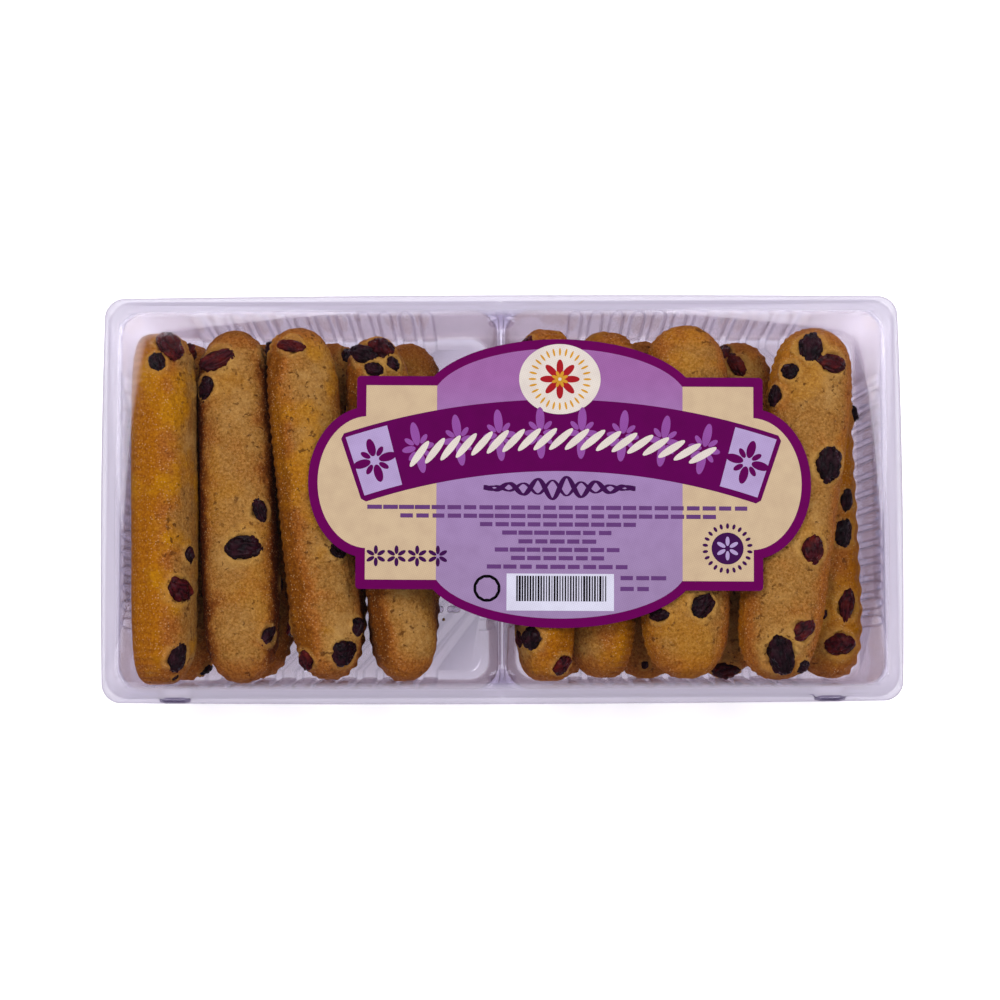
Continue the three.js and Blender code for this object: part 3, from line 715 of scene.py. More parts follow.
def baked_sponge():
    """Baked sponge: golden crumb with pores, toasted towards the rim and tips, and orange brown
    where it met the mould, darkest there partly as painted shade of the gaps between the cakes. The
    pale crest is partly a painted highlight and the pores are painted shade. It is dull and rough,
    with small bright grains of sugar."""
    material, tree = new_material("baked_sponge")
    place = add(tree, "TexCoord").outputs["Object"]
    own = {}
    for name in ("rise", "tip", "brown", "yolk", "torn"):
        own[name] = add(tree, "Attribute", attribute_name=name).outputs["Fac"]
    noises = {}
    for name, size, detail, roughness in (("grain", 0.75, 4.0, 0.75), ("clump", 2.4, 3.0, 0.6),
                                          ("patch", 11, 3.0, 0.55), ("stain", 15, 3.0, 0.5),
                                          ("pore", 1.8, 2.0, 0.6)):
        noises[name] = add(tree, "TexNoise", {"Vector": place, "Scale": 1 / (size * MM), "Detail": detail,
                                              "Roughness": roughness}).outputs["Fac"]
    grain = add(tree, "MapRange", (noises["grain"], 0.33, 0.72), interpolation_type="SMOOTHSTEP")

    # Where a spot lies between the dome and the moulded side, with a patchy border. The brown of
    # the side reaches further up on browner cakes.
    height = add(tree, "Math", (noises["patch"], 0.9, own["rise"]), "MULTIPLY_ADD")
    height = add(tree, "Math", (noises["clump"], 0.35, height), "MULTIPLY_ADD")
    toast = add(tree, "MapRange", (height, 1.6, 1.2, 0.0, 0.95), interpolation_type="SMOOTHSTEP")
    reach = add(tree, "Math", (own["brown"], -0.36, height), "MULTIPLY_ADD")
    moulded = add(tree, "MapRange", (reach, 1.14, 0.7), interpolation_type="SMOOTHSTEP")
    tips = add(tree, "Math", (noises["clump"], 0.14, own["tip"]), "MULTIPLY_ADD")
    tips = add(tree, "MapRange", (tips, 0.9, 1.01, 0.0, 0.9), interpolation_type="SMOOTHSTEP")

    crumb = add(tree, "Mix", (grain, linear("#7d501a"), linear("#b38342")), data_type="RGBA")
    clump = add(tree, "MapRange", (noises["clump"], 0.46, 0.7, 0.0, 0.34))
    crumb = add(tree, "Mix", (clump, crumb, linear("#7d4e1a")), data_type="RGBA")
    # Paler crumb along the crest of the dome. It is partly the less baked crown and partly a painted
    # highlight where the top catches the light.
    paler = add(tree, "MapRange", (height, 1.55, 1.85, 0.0, 0.6), interpolation_type="SMOOTHSTEP")
    crumb = add(tree, "Mix", (paler, crumb, linear("#bd9353")), data_type="RGBA")
    toasted = add(tree, "Mix", (grain, linear("#7c400d"), linear("#ad6a2a")), data_type="RGBA")
    golden = add(tree, "Mix", (grain, linear("#8c4d00"), linear("#b5720a")), data_type="RGBA")
    # Painted shade: the darkest brown of the moulded sides stands partly for their crust and partly for the
    # shade in the narrow gaps between the cakes.
    brown = add(tree, "Mix", (grain, linear("#3a1504"), linear("#6a310a")), data_type="RGBA")
    baked = add(tree, "Mix", (own["brown"], golden, brown), data_type="RGBA")
    skin = add(tree, "Mix", (toast, crumb, toasted), data_type="RGBA")
    skin = add(tree, "Mix", (moulded, skin, baked), data_type="RGBA")
    skin = add(tree, "Mix", (tips, skin, toasted), data_type="RGBA")
    stain = add(tree, "MapRange", (noises["stain"], 0.5, 0.66), interpolation_type="SMOOTHSTEP")
    stain = add(tree, "Math", (stain, add(tree, "Math", (own["yolk"], 0.9), "MULTIPLY")), "MULTIPLY")
    plain = add(tree, "Math", (moulded, own["brown"]), "MULTIPLY")
    stain = add(tree, "Math", (stain, add(tree, "Math", (1.0, plain), "SUBTRACT")), "MULTIPLY")
    yolk = add(tree, "Mix", (grain, linear("#9b6100"), linear("#bd8206")), data_type="RGBA")
    skin = add(tree, "Mix", (stain, skin, yolk), data_type="RGBA")
    pale = add(tree, "Math", (own["torn"], 0.3), "MULTIPLY")
    skin = add(tree, "Mix", (pale, skin, linear("#c59a50")), data_type="RGBA")

    # Open pores of 0.5 to 1 mm in patches of the crumb, painted dark as painted shade inside them. Sugar
    # grains of 0.3 mm are drawn 0.75 mm apart.
    pores = add(tree, "MapRange", (noises["pore"], 0.61, 0.67), interpolation_type="SMOOTHSTEP")
    pores = add(tree, "Math", (pores, add(tree, "MapRange", (noises["patch"], 0.42, 0.56))), "MULTIPLY")
    pores = add(tree, "Math", (pores, add(tree, "Math", (1.0, moulded), "SUBTRACT")), "MULTIPLY")
    dark = add(tree, "Math", (pores, 0.8), "MULTIPLY")
    skin = add(tree, "Mix", (dark, skin, linear("#55300c")), data_type="RGBA")
    sugar = add(tree, "TexVoronoi", {"Vector": place, "Scale": 1 / (0.75 * MM)}).outputs["Distance"]
    sugar = add(tree, "MapRange", (sugar, 0.36, 0.12), interpolation_type="SMOOTHSTEP")
    sugar = add(tree, "Math", (sugar, add(tree, "MapRange", (noises["clump"], 0.35, 0.65))), "MULTIPLY")
    light = add(tree, "Math", (sugar, add(tree, "Math", (toast, 0.4, 0.2), "MULTIPLY_ADD")), "MULTIPLY")
    skin = add(tree, "Mix", (light, skin, linear("#dcb07a")), data_type="RGBA")

    relief = add(tree, "Math", (noises["grain"], 0.6), "MULTIPLY")
    relief = add(tree, "Math", (sugar, 0.3, relief), "MULTIPLY_ADD")
    relief = add(tree, "Math", (noises["clump"], 2.0, relief), "MULTIPLY_ADD")
    relief = add(tree, "Math", (pores, -1.5, relief), "MULTIPLY_ADD")
    bump = add(tree, "Bump", {"Strength": 0.55, "Distance": 0.45 * MM, "Height": relief})
    gloss = add(tree, "MapRange", (sugar, 0.0, 1.0, 0.75, 0.5))
    surface = add(tree, "BsdfPrincipled", {"Base Color": skin, "Roughness": gloss, "Normal": bump, "IOR": 1.4,
                                           "Specular IOR Level": 0.08})
    add(tree, "OutputMaterial", (surface,))
    return material


seats = crust_seats()
seat_marks = mark_seats("seats", seats)
sponge = baked_sponge()
finger = baked_finger()
for name, length, width, height, place, yaw, roll, pitch, brown, yolk, flute_pitch in CAKES:
    turn = Matrix.Rotation(math.radians(yaw), 3, "Z") @ Matrix.Rotation(math.radians(pitch), 3, "X")
    turn = turn @ Matrix.Rotation(math.radians(roll), 3, "Y")
    layer = name.split("_")[1]
    along, around = CAKE_STEPS[layer]
    cake = grow("madeleine_" + name, finger, {
        "Along": along, "Around": around, "Length": length * MM, "Width": width * MM,
        "Above": height * (1 - RIM_SHARE) * MM, "Below": height * RIM_SHARE * MM,
        "Flute": flute_pitch * MM, "Depth": FLUTE_IN[layer] * MM, "Lip": LIP, "Lumps": LUMPS * MM,
        "Crumb": CRUMB * MM, "Pit": PIT * MM, "Brown": float(brown), "Yolk": float(yolk),
        "Turn": turn.to_euler("XYZ"), "Place": [p * MM for p in place], "Seats": seat_marks,
        "Material": sponge})
    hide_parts("cake_" + name)
    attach(cake, "root")
bpy.data.objects.remove(seat_marks)


# ---------------------------------------------------------------------------------------
# Raisins. Dried grapes, mixed into the batter and half sunk in the crust: wrinkled, slightly
# sticky skins, most of them nearly black, some a see-through red brown.
# ---------------------------------------------------------------------------------------
RAISIN_STEPS = {"top": 5, "under": 4}
WRINKLE = 0.14
SHRINKAGE = 0.62
UNLIKE = 7.3


def dried_grapes():
    """Geometry nodes: one raisin on each point, shrunk unevenly, with folds along its length."""
    tree, given = new_tree("dried_grapes", Seats="Object", Steps="Int", Shrinkage="Float", Wrinkle="Float",
                           Material="Material")
    seats = add(tree, "ObjectInfo", {"Object": given["Seats"]}).outputs["Geometry"]
    # Each raisin's number moves it to another place in the noise, so that no two are alike.
    number = add(tree, "Math", (add(tree, "InputIndex"), UNLIKE), "MULTIPLY")
    seats = add(tree, "StoreNamedAttribute", {"Geometry": seats, "Name": "number", "Value": number})
    ball = add(tree, "MeshIcoSphere", (1.0, given["Steps"]))
    own = add(tree, "InputPosition")
    ball = add(tree, "StoreNamedAttribute", {"Geometry": ball, "Name": "own", "Value": own},
               data_type="FLOAT_VECTOR")
    half = add(tree, "InputNamedAttribute", ("half",), data_type="FLOAT_VECTOR")
    turn = add(tree, "InputNamedAttribute", ("turn",), data_type="FLOAT_VECTOR")
    grapes = add(tree, "InstanceOnPoints", {"Points": seats, "Instance": ball, "Rotation": turn,
                                            "Scale": half})
    grapes = add(tree, "RealizeInstances", (grapes,))
    own = add(tree, "InputNamedAttribute", ("own",), data_type="FLOAT_VECTOR")
    number = add(tree, "InputNamedAttribute", ("number",))
    place = add(tree, "VectorMath", (own, add(tree, "CombineXYZ", (number, number, 0.0))), "ADD")
    lumps = add(tree, "TexNoise", {"Vector": place, "Scale": 1.1, "Detail": 1.0})
    lumps = add(tree, "Math", (add(tree, "Math", (lumps, 0.5), "SUBTRACT"), given["Shrinkage"]), "MULTIPLY")
    drawn_out = add(tree, "VectorMath", (place, (0.65, 1.0, 1.0)), "MULTIPLY")
    fold = add(tree, "TexNoise", {"Vector": drawn_out, "Scale": 2.0, "Detail": 1.0, "Roughness": 0.5})
    fold = add(tree, "Math", (add(tree, "Math", (fold, 0.5), "SUBTRACT"),), "ABSOLUTE")
    fold = add(tree, "MapRange", (fold, 0.0, 0.14), interpolation_type="SMOOTHSTEP")
    grapes = add(tree, "StoreNamedAttribute", {"Geometry": grapes, "Name": "fold", "Value": fold})
    folded = add(tree, "Math", (fold, 0.75), "SUBTRACT")
    folded = add(tree, "Math", (folded, given["Wrinkle"], lumps), "MULTIPLY_ADD")
    half_width = add(tree, "SeparateXYZ", (half,)).outputs["Y"]
    swell = add(tree, "Math", (folded, half_width), "MULTIPLY")
    return end_tree(tree, given, swell_out(tree, grapes, swell))


def raisin_skin(name, ridge, crease_shade, glow, roughness):
    """Dried grape skin: waxy, with sharp small highlights on its folds and painted shade in its creases."""
    material, tree = new_material(name)
    place = add(tree, "TexCoord").outputs["Object"]
    fold = add(tree, "Attribute", attribute_name="fold").outputs["Fac"]
    # Painted shade: the narrow creases between the folds are darker.
    skin = add(tree, "Mix", (fold, linear(crease_shade), linear(ridge)), data_type="RGBA")
    blotch = add(tree, "TexNoise", {"Vector": place, "Scale": 1 / (3.2 * MM), "Detail": 2.0})
    blotch = add(tree, "MapRange", (blotch, 0.42, 0.75), interpolation_type="SMOOTHSTEP")
    skin = add(tree, "Mix", (blotch, skin, linear(glow)), data_type="RGBA")
    fine = add(tree, "TexNoise", {"Vector": place, "Scale": 1 / (0.7 * MM), "Detail": 3.0, "Roughness": 0.6})
    bump = add(tree, "Bump", {"Strength": 0.35, "Distance": 0.2 * MM, "Height": fine})
    gloss = add(tree, "MapRange", (fine, 0.3, 0.7, roughness - 0.08, roughness + 0.12))
    surface = add(tree, "BsdfPrincipled", {"Base Color": skin, "Roughness": gloss, "Normal": bump,
                                           "IOR": 1.45, "Specular IOR Level": 0.09})
    add(tree, "OutputMaterial", (surface,))
    return material


grapes = dried_grapes()
skins = {"dark": raisin_skin("dark_raisin_skin", "#1c060e", "#070104", "#2c0a15", 0.26),
         "red": raisin_skin("red_raisin_skin", "#3a0710", "#1a0307", "#581510", 0.24)}
for layer, chosen in (("top", seats[:len(RAISINS)]), ("under", seats[len(RAISINS):])):
    for kind, skin in skins.items():
        marks = mark_seats("seats", [seat for seat in chosen if seat[5] == kind])
        raisins = grow("raisins_%s_%s" % (kind, layer), grapes, {
            "Seats": marks, "Steps": RAISIN_STEPS[layer], "Shrinkage": SHRINKAGE, "Wrinkle": WRINKLE,
            "Material": skin})
        bpy.data.objects.remove(marks)
        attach(raisins, "root")


# ---------------------------------------------------------------------------------------
# Crumbs. Dry crumbs of crust, 0.5 to 2 mm across, that have come off the cakes and lie on
# the floors of the tray.
# ---------------------------------------------------------------------------------------
LOOSE_RADIUS = (0.3, 0.95)
LOOSE_MARGIN = 8
LOOSE_HEIGHT = 0.5
LOOSE_ON_FLOOR = 34


def loose_crumbs():
    """Geometry nodes: uneven crumbs strewn over a flat patch."""
    tree, given = new_tree("loose_crumbs", Size="Vector", Place="Vector", Count="Float", Least="Float",
                           Most="Float", Seed="Int", Material="Material")
    size = add(tree, "SeparateXYZ", (given["Size"],)).outputs
    patch = add(tree, "MeshGrid", (size["X"], size["Y"], 2, 2))
    area = add(tree, "Math", (size["X"], size["Y"]), "MULTIPLY")
    density = add(tree, "Math", (given["Count"], area), "DIVIDE")
    strewn = add(tree, "DistributePointsOnFaces", {"Mesh": patch, "Density": density, "Seed": given["Seed"]})
    crumb = add(tree, "MeshIcoSphere", (1.0, 3))
    scale = add(tree, "RandomValue", {"Min": given["Least"], "Max": given["Most"], "Seed": given["Seed"]})
    turned = add(tree, "RandomValue", {"Min": (0, 0, 0), "Max": (6.0, 6.0, 6.0)}, data_type="FLOAT_VECTOR")
    crumbs = add(tree, "InstanceOnPoints", {"Points": strewn.outputs["Points"], "Instance": crumb,
                                            "Rotation": turned, "Scale": scale})
    crumbs = add(tree, "RealizeInstances", (crumbs,))
    where = add(tree, "InputPosition")
    rough = add(tree, "TexNoise", {"Vector": where, "Scale": 1 / (0.9 * MM), "Detail": 1.0})
    rough = add(tree, "Math", (add(tree, "Math", (rough, 0.5), "SUBTRACT"), 1.1 * MM), "MULTIPLY")
    crumbs = swell_out(tree, crumbs, rough)
    crumbs = add(tree, "Transform", {"Geometry": crumbs, "Translation": given["Place"]})
    return end_tree(tree, given, crumbs)


def crust_crumb():
    """Crumbs of crust: dull golden brown, darker and paler from grain to grain."""
    material, tree = new_material("crust_crumb")
    place = add(tree, "TexCoord").outputs["Object"]
    grain = add(tree, "TexNoise", {"Vector": place, "Scale": 1 / (0.9 * MM), "Detail": 2.0})
    skin = add(tree, "Mix", (grain, linear("#8f5a1e"), linear("#d9a85a")), data_type="RGBA")
    bump = add(tree, "Bump", {"Strength": 0.5, "Distance": 0.2 * MM, "Height": grain})
    surface = add(tree, "BsdfPrincipled", {"Base Color": skin, "Roughness": 0.75, "Normal": bump, "IOR": 1.4})
    add(tree, "OutputMaterial", (surface,))
    return material


strew = loose_crumbs()
crust = crust_crumb()
patches = []
for side in (-1, 1):
    patches.append(grow("crumbs", strew, {
        "Size": (*(2 * (half - LOOSE_MARGIN) * MM for half in CUP_HALF), 0.0),
        "Place": (side * CUP_CENTRE * MM, 0, (FLOOR + LOOSE_HEIGHT) * MM), "Count": float(LOOSE_ON_FLOOR),
        "Least": LOOSE_RADIUS[0] * MM, "Most": LOOSE_RADIUS[1] * MM, "Seed": 20 + side,
        "Material": crust}))
crumbs = join("loose_crumbs", patches)
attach(crumbs, "root")


# ---------------------------------------------------------------------------------------
# Film. Clear stretch film pulled tight from the flange down to the tray's feet. It meets in
# a lap along the underside, and each end is folded in like an envelope and sealed.
# ---------------------------------------------------------------------------------------
FILM_WALL = 0.04
FILM_HALF = (110.4, 56.2)
FILM_FOOT = (103.77, 50.87)
FILM_CORNERS = (5.5, 4.5)
FILM_LEAST_CORNER = 2.5
FILM_STEPS = (22, 60)
FILM_BOW = 0.6
FILM_UNDER = 0.12
FILM_BEND = (1.0, 1.2)
FILM_BEND_STEPS = 4
FILM_SHOULDER = 41.4
FILM_LEVELS = (40, 37, 33, 28, 22, 16, 10, 5, 2.4)
FILM_TOP = [
    # inset from the edge, height: the film swells a little inside the flange
    (24, 42.88), (22, 42.88), (17, 42.87), (13, 42.85), (9, 42.8), (6, 42.66), (5, 42.58), (4, 42.5),
    (2.4, 42.34), (1.2, 42.14), (0.5, 41.9), (0.12, 41.65),
]
PUCKER = {"pitch": 3.1, "depth": 0.16, "reach": 6}
LAP = {"y": 8.0, "half": (101.0, 7.0), "z": 0.04}
END_FLAPS = [
    # shares of the wall's height at the folded edge and at the free edge, how far the free edge's
    # ends are drawn in, and how far the flap lies off the wall
    (0.94, 0.40, 27.0, 0.06),
    (0.06, 0.55, 31.0, 0.12),
]
FLAP_INSET = 3.0
# The milky edge: where it begins and is full, measured inwards from the film's outline, the corner
# of the line where it begins, how milky it is, the most that it can be, and how far down it goes.
HAZE_ZONE = (-5.2, -3.8)
HAZE_CORNER = 10.0
HAZE_EDGE = 0.37
HAZE_MOST = 0.7
HAZE_LOWEST = 40.5
HAZE_AND_HIGHLIGHT_SPOTS = [
    # x, y, reach, strength: where the film is creased over the flange, milky and with a painted highlight on
    # the creases
    (-106, 51, 6, 0.2), (-108.5, 25, 9, 0.08), (-108, -30, 10, 0.06), (-107, -51, 5, 0.12),
    (90, 54, 7, 0.12), (105, 51, 6, 0.16), (109, 5, 9, 0.1), (108, -40, 8, 0.14), (101, -53, 7, 0.14),
]


def rounded_outline(half_x, half_y, radius, arc_steps, side_steps):
    """Points round a rounded rectangle, anticlockwise, and the outward direction at each."""
    points = []
    outward = []
    for quarter in range(4):
        turn = quarter * math.pi / 2
        signs = np.array([1 if quarter in (0, 3) else -1, 1 if quarter < 2 else -1])
        centre = signs * (half_x - radius, half_y - radius)
        for step in range(arc_steps):
            angle = turn + step / arc_steps * math.pi / 2
            direction = np.array([math.cos(angle), math.sin(angle)])
            points.append(centre + radius * direction)
            outward.append(direction)
        direction = np.array([math.cos(turn + math.pi / 2), math.sin(turn + math.pi / 2)])
        along = np.array([-direction[1], direction[0]])
        run = 2 * ((half_x if quarter % 2 == 0 else half_y) - radius)
        for step in range(side_steps):
            points.append(centre + radius * direction + along * run * step / side_steps)
            outward.append(direction)
    return np.array(points), np.array(outward)


def film_ring(inset, z):
    """One level of the wrap. It is widest at the flange and drawn in to the tray's feet below."""
    share = min((z - FILM_UNDER) / (FILM_SHOULDER - FILM_UNDER), 1)
    half_x, half_y = (foot + (half - foot) * share for foot, half in zip(FILM_FOOT, FILM_HALF))
    radius = FILM_CORNERS[1] + (FILM_CORNERS[0] - FILM_CORNERS[1]) * share
    corner = max(radius - inset, FILM_LEAST_CORNER)
    points, outward = rounded_outline(half_x - inset, half_y - inset, corner, *FILM_STEPS)
    bow = FILM_BOW * share * (1 - np.minimum(abs(points) / (half_x - radius, half_y - radius), 1) ** 2)
    points = points + outward * bow[:, ::-1]

    # Small puckers gather towards the corners, on the sloping sides only.
    run = np.cumsum(np.linalg.norm(np.diff(points, axis=0, append=points[:1]), axis=1))
    from_corner = np.linalg.norm(abs(points) - (half_x - radius, half_y - radius), axis=1)
    gathered = PUCKER["depth"] * np.exp(-(from_corner / PUCKER["reach"]) ** 2) * 4 * share * (1 - share)
    points = points - outward * (gathered * (1 - np.cos(run * 2 * math.pi / PUCKER["pitch"])))[:, None]
    return np.column_stack([points, np.full(len(points), z)])


def end_flap(side, folded, free, drawn_in, lift):
    """A folded-in flap of film on one end of the pack, a trapezoid lying on the sloping end."""
    corners = []
    for share, inset in ((folded, FLAP_INSET), (free, drawn_in)):
        x = FILM_FOOT[0] + (FILM_HALF[0] - FILM_FOOT[0]) * share + lift
        y = FILM_FOOT[1] + (FILM_HALF[1] - FILM_FOOT[1]) * share - inset
        z = FILM_UNDER + (FILM_SHOULDER - FILM_UNDER) * share
        corners += [(side * x, y, z), (side * x, -y, z)]
    face = (0, 1, 3, 2) if (side > 0) == (folded > free) else (2, 3, 1, 0)
    return new_piece("end_flap", corners, [face], False)


# Stretch film is thinner and clearer than the tray: it shows by weak, sharp highlights, and by the
# milky grey of its creases, which is partly a painted highlight.
wrap = clear_sheet("stretch_film", "#fdfdfe", "#d2cfdc", 0.025, 0.06, "#cdc7d3")
rings = [film_ring(inset, z) for inset, z in FILM_TOP]
rings += [film_ring(0, z) for z in (FILM_SHOULDER, *FILM_LEVELS)]
for step in range(1, FILM_BEND_STEPS + 1):
    angle = step / FILM_BEND_STEPS * math.pi / 2
    inset = FILM_BEND[0] * (1 - math.cos(angle))
    rings.append(film_ring(inset, FILM_BEND[1] - (FILM_BEND[1] - FILM_UNDER) * math.sin(angle)))
points, faces = loft(rings[::-1])
faces.append(list(range(len(rings[0])))[::-1])
film = new_piece("film_skin", points, faces)
lap_corners = [(x * LAP["half"][0], LAP["y"] + y * LAP["half"][1], LAP["z"])
               for x, y in ((-1, -1), (1, -1), (1, 1), (-1, 1))]
lap = new_piece("lap", lap_corners, [(3, 2, 1, 0)], False)
flaps = [end_flap(side, *flap) for side in (-1, 1) for flap in END_FLAPS]
film_pieces = [film, lap] + flaps
for sheet in film_pieces:
    skin = sheet.modifiers.new("wall", "SOLIDIFY")
    skin.thickness = FILM_WALL * MM
    skin.offset = -1 if sheet is film else 0
    freeze(sheet)
    sheet.data.materials.append(wrap)
film = join("film_wrap", film_pieces)
haze = np.zeros(len(film.data.vertices))
place = np.array([vertex.co for vertex in film.data.vertices]) / MM
# Milky creases at the corners of the flange. Their brightness is partly a painted highlight.
for x, y, reach, strength in HAZE_AND_HIGHLIGHT_SPOTS:
    haze += strength * np.exp(-((place[:, 0] - x) ** 2 + (place[:, 1] - y) ** 2) / reach ** 2)
# Over the cakes the film lies smooth and clear. It is stretched and creased over the flange.
from_inner = np.maximum(abs(place[:, :2]) - FILM_HALF + HAZE_CORNER, 0)
beyond = np.linalg.norm(from_inner, axis=1) - HAZE_CORNER
haze = np.minimum(haze + HAZE_EDGE, HAZE_MOST) * smooth_step(*HAZE_ZONE, beyond)
haze = haze * smooth_step(HAZE_LOWEST, FILM_SHOULDER, place[:, 2])
film.data.attributes.new("haze", "FLOAT", "POINT").data.foreach_set("value", haze)
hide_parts("film")
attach(film, "root")


# ---------------------------------------------------------------------------------------
# Label. Semi-gloss paper, die-cut with square shoulders, shallow domes and a round lobe at
# each end, printed in flat inks with a fine screen, and stuck flat on the film.
# ---------------------------------------------------------------------------------------
LABEL_TURN = -0.5
# The shoulders: half length, half width and corner radius. A dome or lobe: half its width where it
# leaves the shoulders, how far it stands out from them, and half the width of its ellipse.
SHOULDER = (56.2, 29.55, 1.1)
DOME = (34.9, 10.5, 38.0)
LOBE = (20.5, 13.3, 20.9)
BORDER = 2.6
PAPER = 0.1
INK = 0.018
CENTRE_HALF = 34.0
BAND = {"centre": (0.4, -167.4), "inner": 170.7, "outer": 190.6, "half_angle": 18.75, "corner": 1.2}
PANEL = {"inner": 172.4, "outer": 189.4, "angles": (14.75, 18.35)}
ROSETTES = {"radius": 181.4, "count": 8, "half_angle": 12.6}
TWIST = {"radius": 179.6, "count": 19, "half_angle": 12.6, "slant": 48}
PANEL_FLOWERS = {"radius": 180.9, "count": 2, "half_angle": 16.55}
MEDALLION = {"centre": (0, 28.9), "half": (11.3, 9.8), "rays": 28, "ray_radius": 7.6}
FLOURISH = {"half": 21, "height": -1.4, "waves": 5.2, "swing": (3.2, -2.2), "width": ((0.6, 0.8), (0.4, 0.5))}
FLOWER_ROW = {"height": -20.4, "places": (-50.6, -44.9, -39.2, -33.5)}
PLAIN_RING = {"centre": (-19.9, -29.2), "radius": 3.3, "count": 12}
ROUND_MARK = {"centre": (46.4, -17.9), "radius": 4.4, "dash_radius": 6.2, "dashes": 22}
TEXT_ROWS = [
    # left end, right end and height on the label of each row of small print
    (-53.9, 53.0, -6.85), (-45.3, 44.5, -9.2), (-22.6, 21.8, -11.5), (-14.9, 13.8, -13.8),
    (-11.3, 10.2, -16.2), (-18.5, 17.4, -18.5), (-12.7, 11.9, -20.8), (-20.7, 19.9, -23.2),
    (16.2, 29.8, -26.2), (16.2, 25.6, -29.2),
]
# Rows of bars: pitch, height, and the least and most width as a share of the pitch.
TEXT_BARS = {"pitch": 4.4, "height": 1.15, "least": 0.72, "most": 0.95}
CODE_BARS = {"pitch": 0.74, "height": 7.0, "least": 0.3, "most": 0.85}
CODE_COUNT = 34
CODE_MIDDLE = (0.6, -29.2)
CODE_SEED = 5
CODE_BOX = ((-14.5, -35.3), (15.1, -25.1))

label_low, label_high = (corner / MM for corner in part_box("label"))
label_middle = ((label_low + label_high) / 2).to_2d()


def arc(centre, radius, start, end, steps):
    """Points on an arc, angles in degrees from the X axis. The radius may differ in X and Y."""
    turns = np.radians(np.linspace(start, end, steps + 1))
    radius_x, radius_y = radius if isinstance(radius, tuple) else (radius, radius)
    return [(centre[0] + radius_x * math.cos(t), centre[1] + radius_y * math.sin(t)) for t in turns]


def ellipse_on(side, half, rise, reach):
    """The ellipse of a dome or lobe that stands on a side of the label: its depth and the place of
    its middle."""
    depth = rise / (1 - math.cos(math.asin(half / reach)))
    return depth, side + rise - depth


def die_line(inset):
    """The label's outline, or a line that runs this far inside it."""
    shoulder_x, shoulder_y, corner = SHOULDER[0] - inset, SHOULDER[1] - inset, max(SHOULDER[2] - inset, 0.1)
    dome_depth, dome_centre = ellipse_on(SHOULDER[1], *DOME)
    lobe_depth, lobe_centre = ellipse_on(SHOULDER[0], *LOBE)
    dome = (DOME[2] - inset, dome_depth - inset)
    lobe = (lobe_depth - inset, LOBE[2] - inset)
    dome_angle = math.degrees(math.acos((shoulder_y - dome_centre) / dome[1]))
    lobe_angle = math.degrees(math.acos((shoulder_x - lobe_centre) / lobe[0]))
    half = arc((lobe_centre, 0), lobe, -lobe_angle, lobe_angle, 36)
    half += arc((shoulder_x - corner, shoulder_y - corner), corner, 0, 90, 6)
    half += arc((0, dome_centre), dome, 90 - dome_angle, 90 + dome_angle, 48)
    half += arc((corner - shoulder_x, shoulder_y - corner), corner, 90, 180, 6)
    return half + [(-x, -y) for x, y in half]


def centre_field():
    """The middle of the label between its two domes."""
    depth, centre = ellipse_on(SHOULDER[1], *DOME)
    angle = math.degrees(math.asin(CENTRE_HALF / (DOME[2] - BORDER)))
    half = arc((0, centre), (DOME[2] - BORDER, depth - BORDER), 90 - angle, 90 + angle, 48)
    return half + [(-x, -y) for x, y in half]


def sector(inner, outer, start, end, corner=0.0):
    """A piece of the arched band between two angles from the upright, in degrees, listed anticlockwise.
    A corner of more than 0 cuts its corners off."""
    steps = max(int(abs(end - start) * 2), 4)
    trim = math.degrees(corner / outer)
    low = arc(BAND["centre"], inner, 90 - start - trim, 90 - end + trim, steps)
    high = arc(BAND["centre"], outer, 90 - end + trim, 90 - start - trim, steps)
    if corner == 0:
        return low + high
    near, far = inner + corner, outer - corner
    end_side = [arc(BAND["centre"], radius, 90 - end, 90 - end, 1)[0] for radius in (near, far)]
    start_side = [arc(BAND["centre"], radius, 90 - start, 90 - start, 1)[0] for radius in (far, near)]
    return low + end_side + high + start_side


def level_of(layer):
    """The height of the underside of an ink layer. The paper is layer 0."""
    return label_low.z + (PAPER + (layer - 1) * INK if layer else 0)


def plate(outline, layer, material):
    """A thin flat field of ink on the label, or the paper itself at layer 0, its outline listed
    anticlockwise. With no layer it is a motif that stands at the origin."""
    if layer is None:
        low, high = 0, INK
    else:
        outline = np.array(outline) + label_middle
        low, high = level_of(layer), level_of(layer + 1)
    count = len(outline)
    vertices = [(x, y, low) for x, y in outline] + [(x, y, high) for x, y in outline]
    faces = [list(range(count))[::-1], list(range(count, 2 * count))]
    faces += [[i, (i + 1) % count, count + (i + 1) % count, count + i] for i in range(count)]
    made = new_piece("plate", vertices, faces, smooth=False)
    made.data.materials.append(material)
    return made


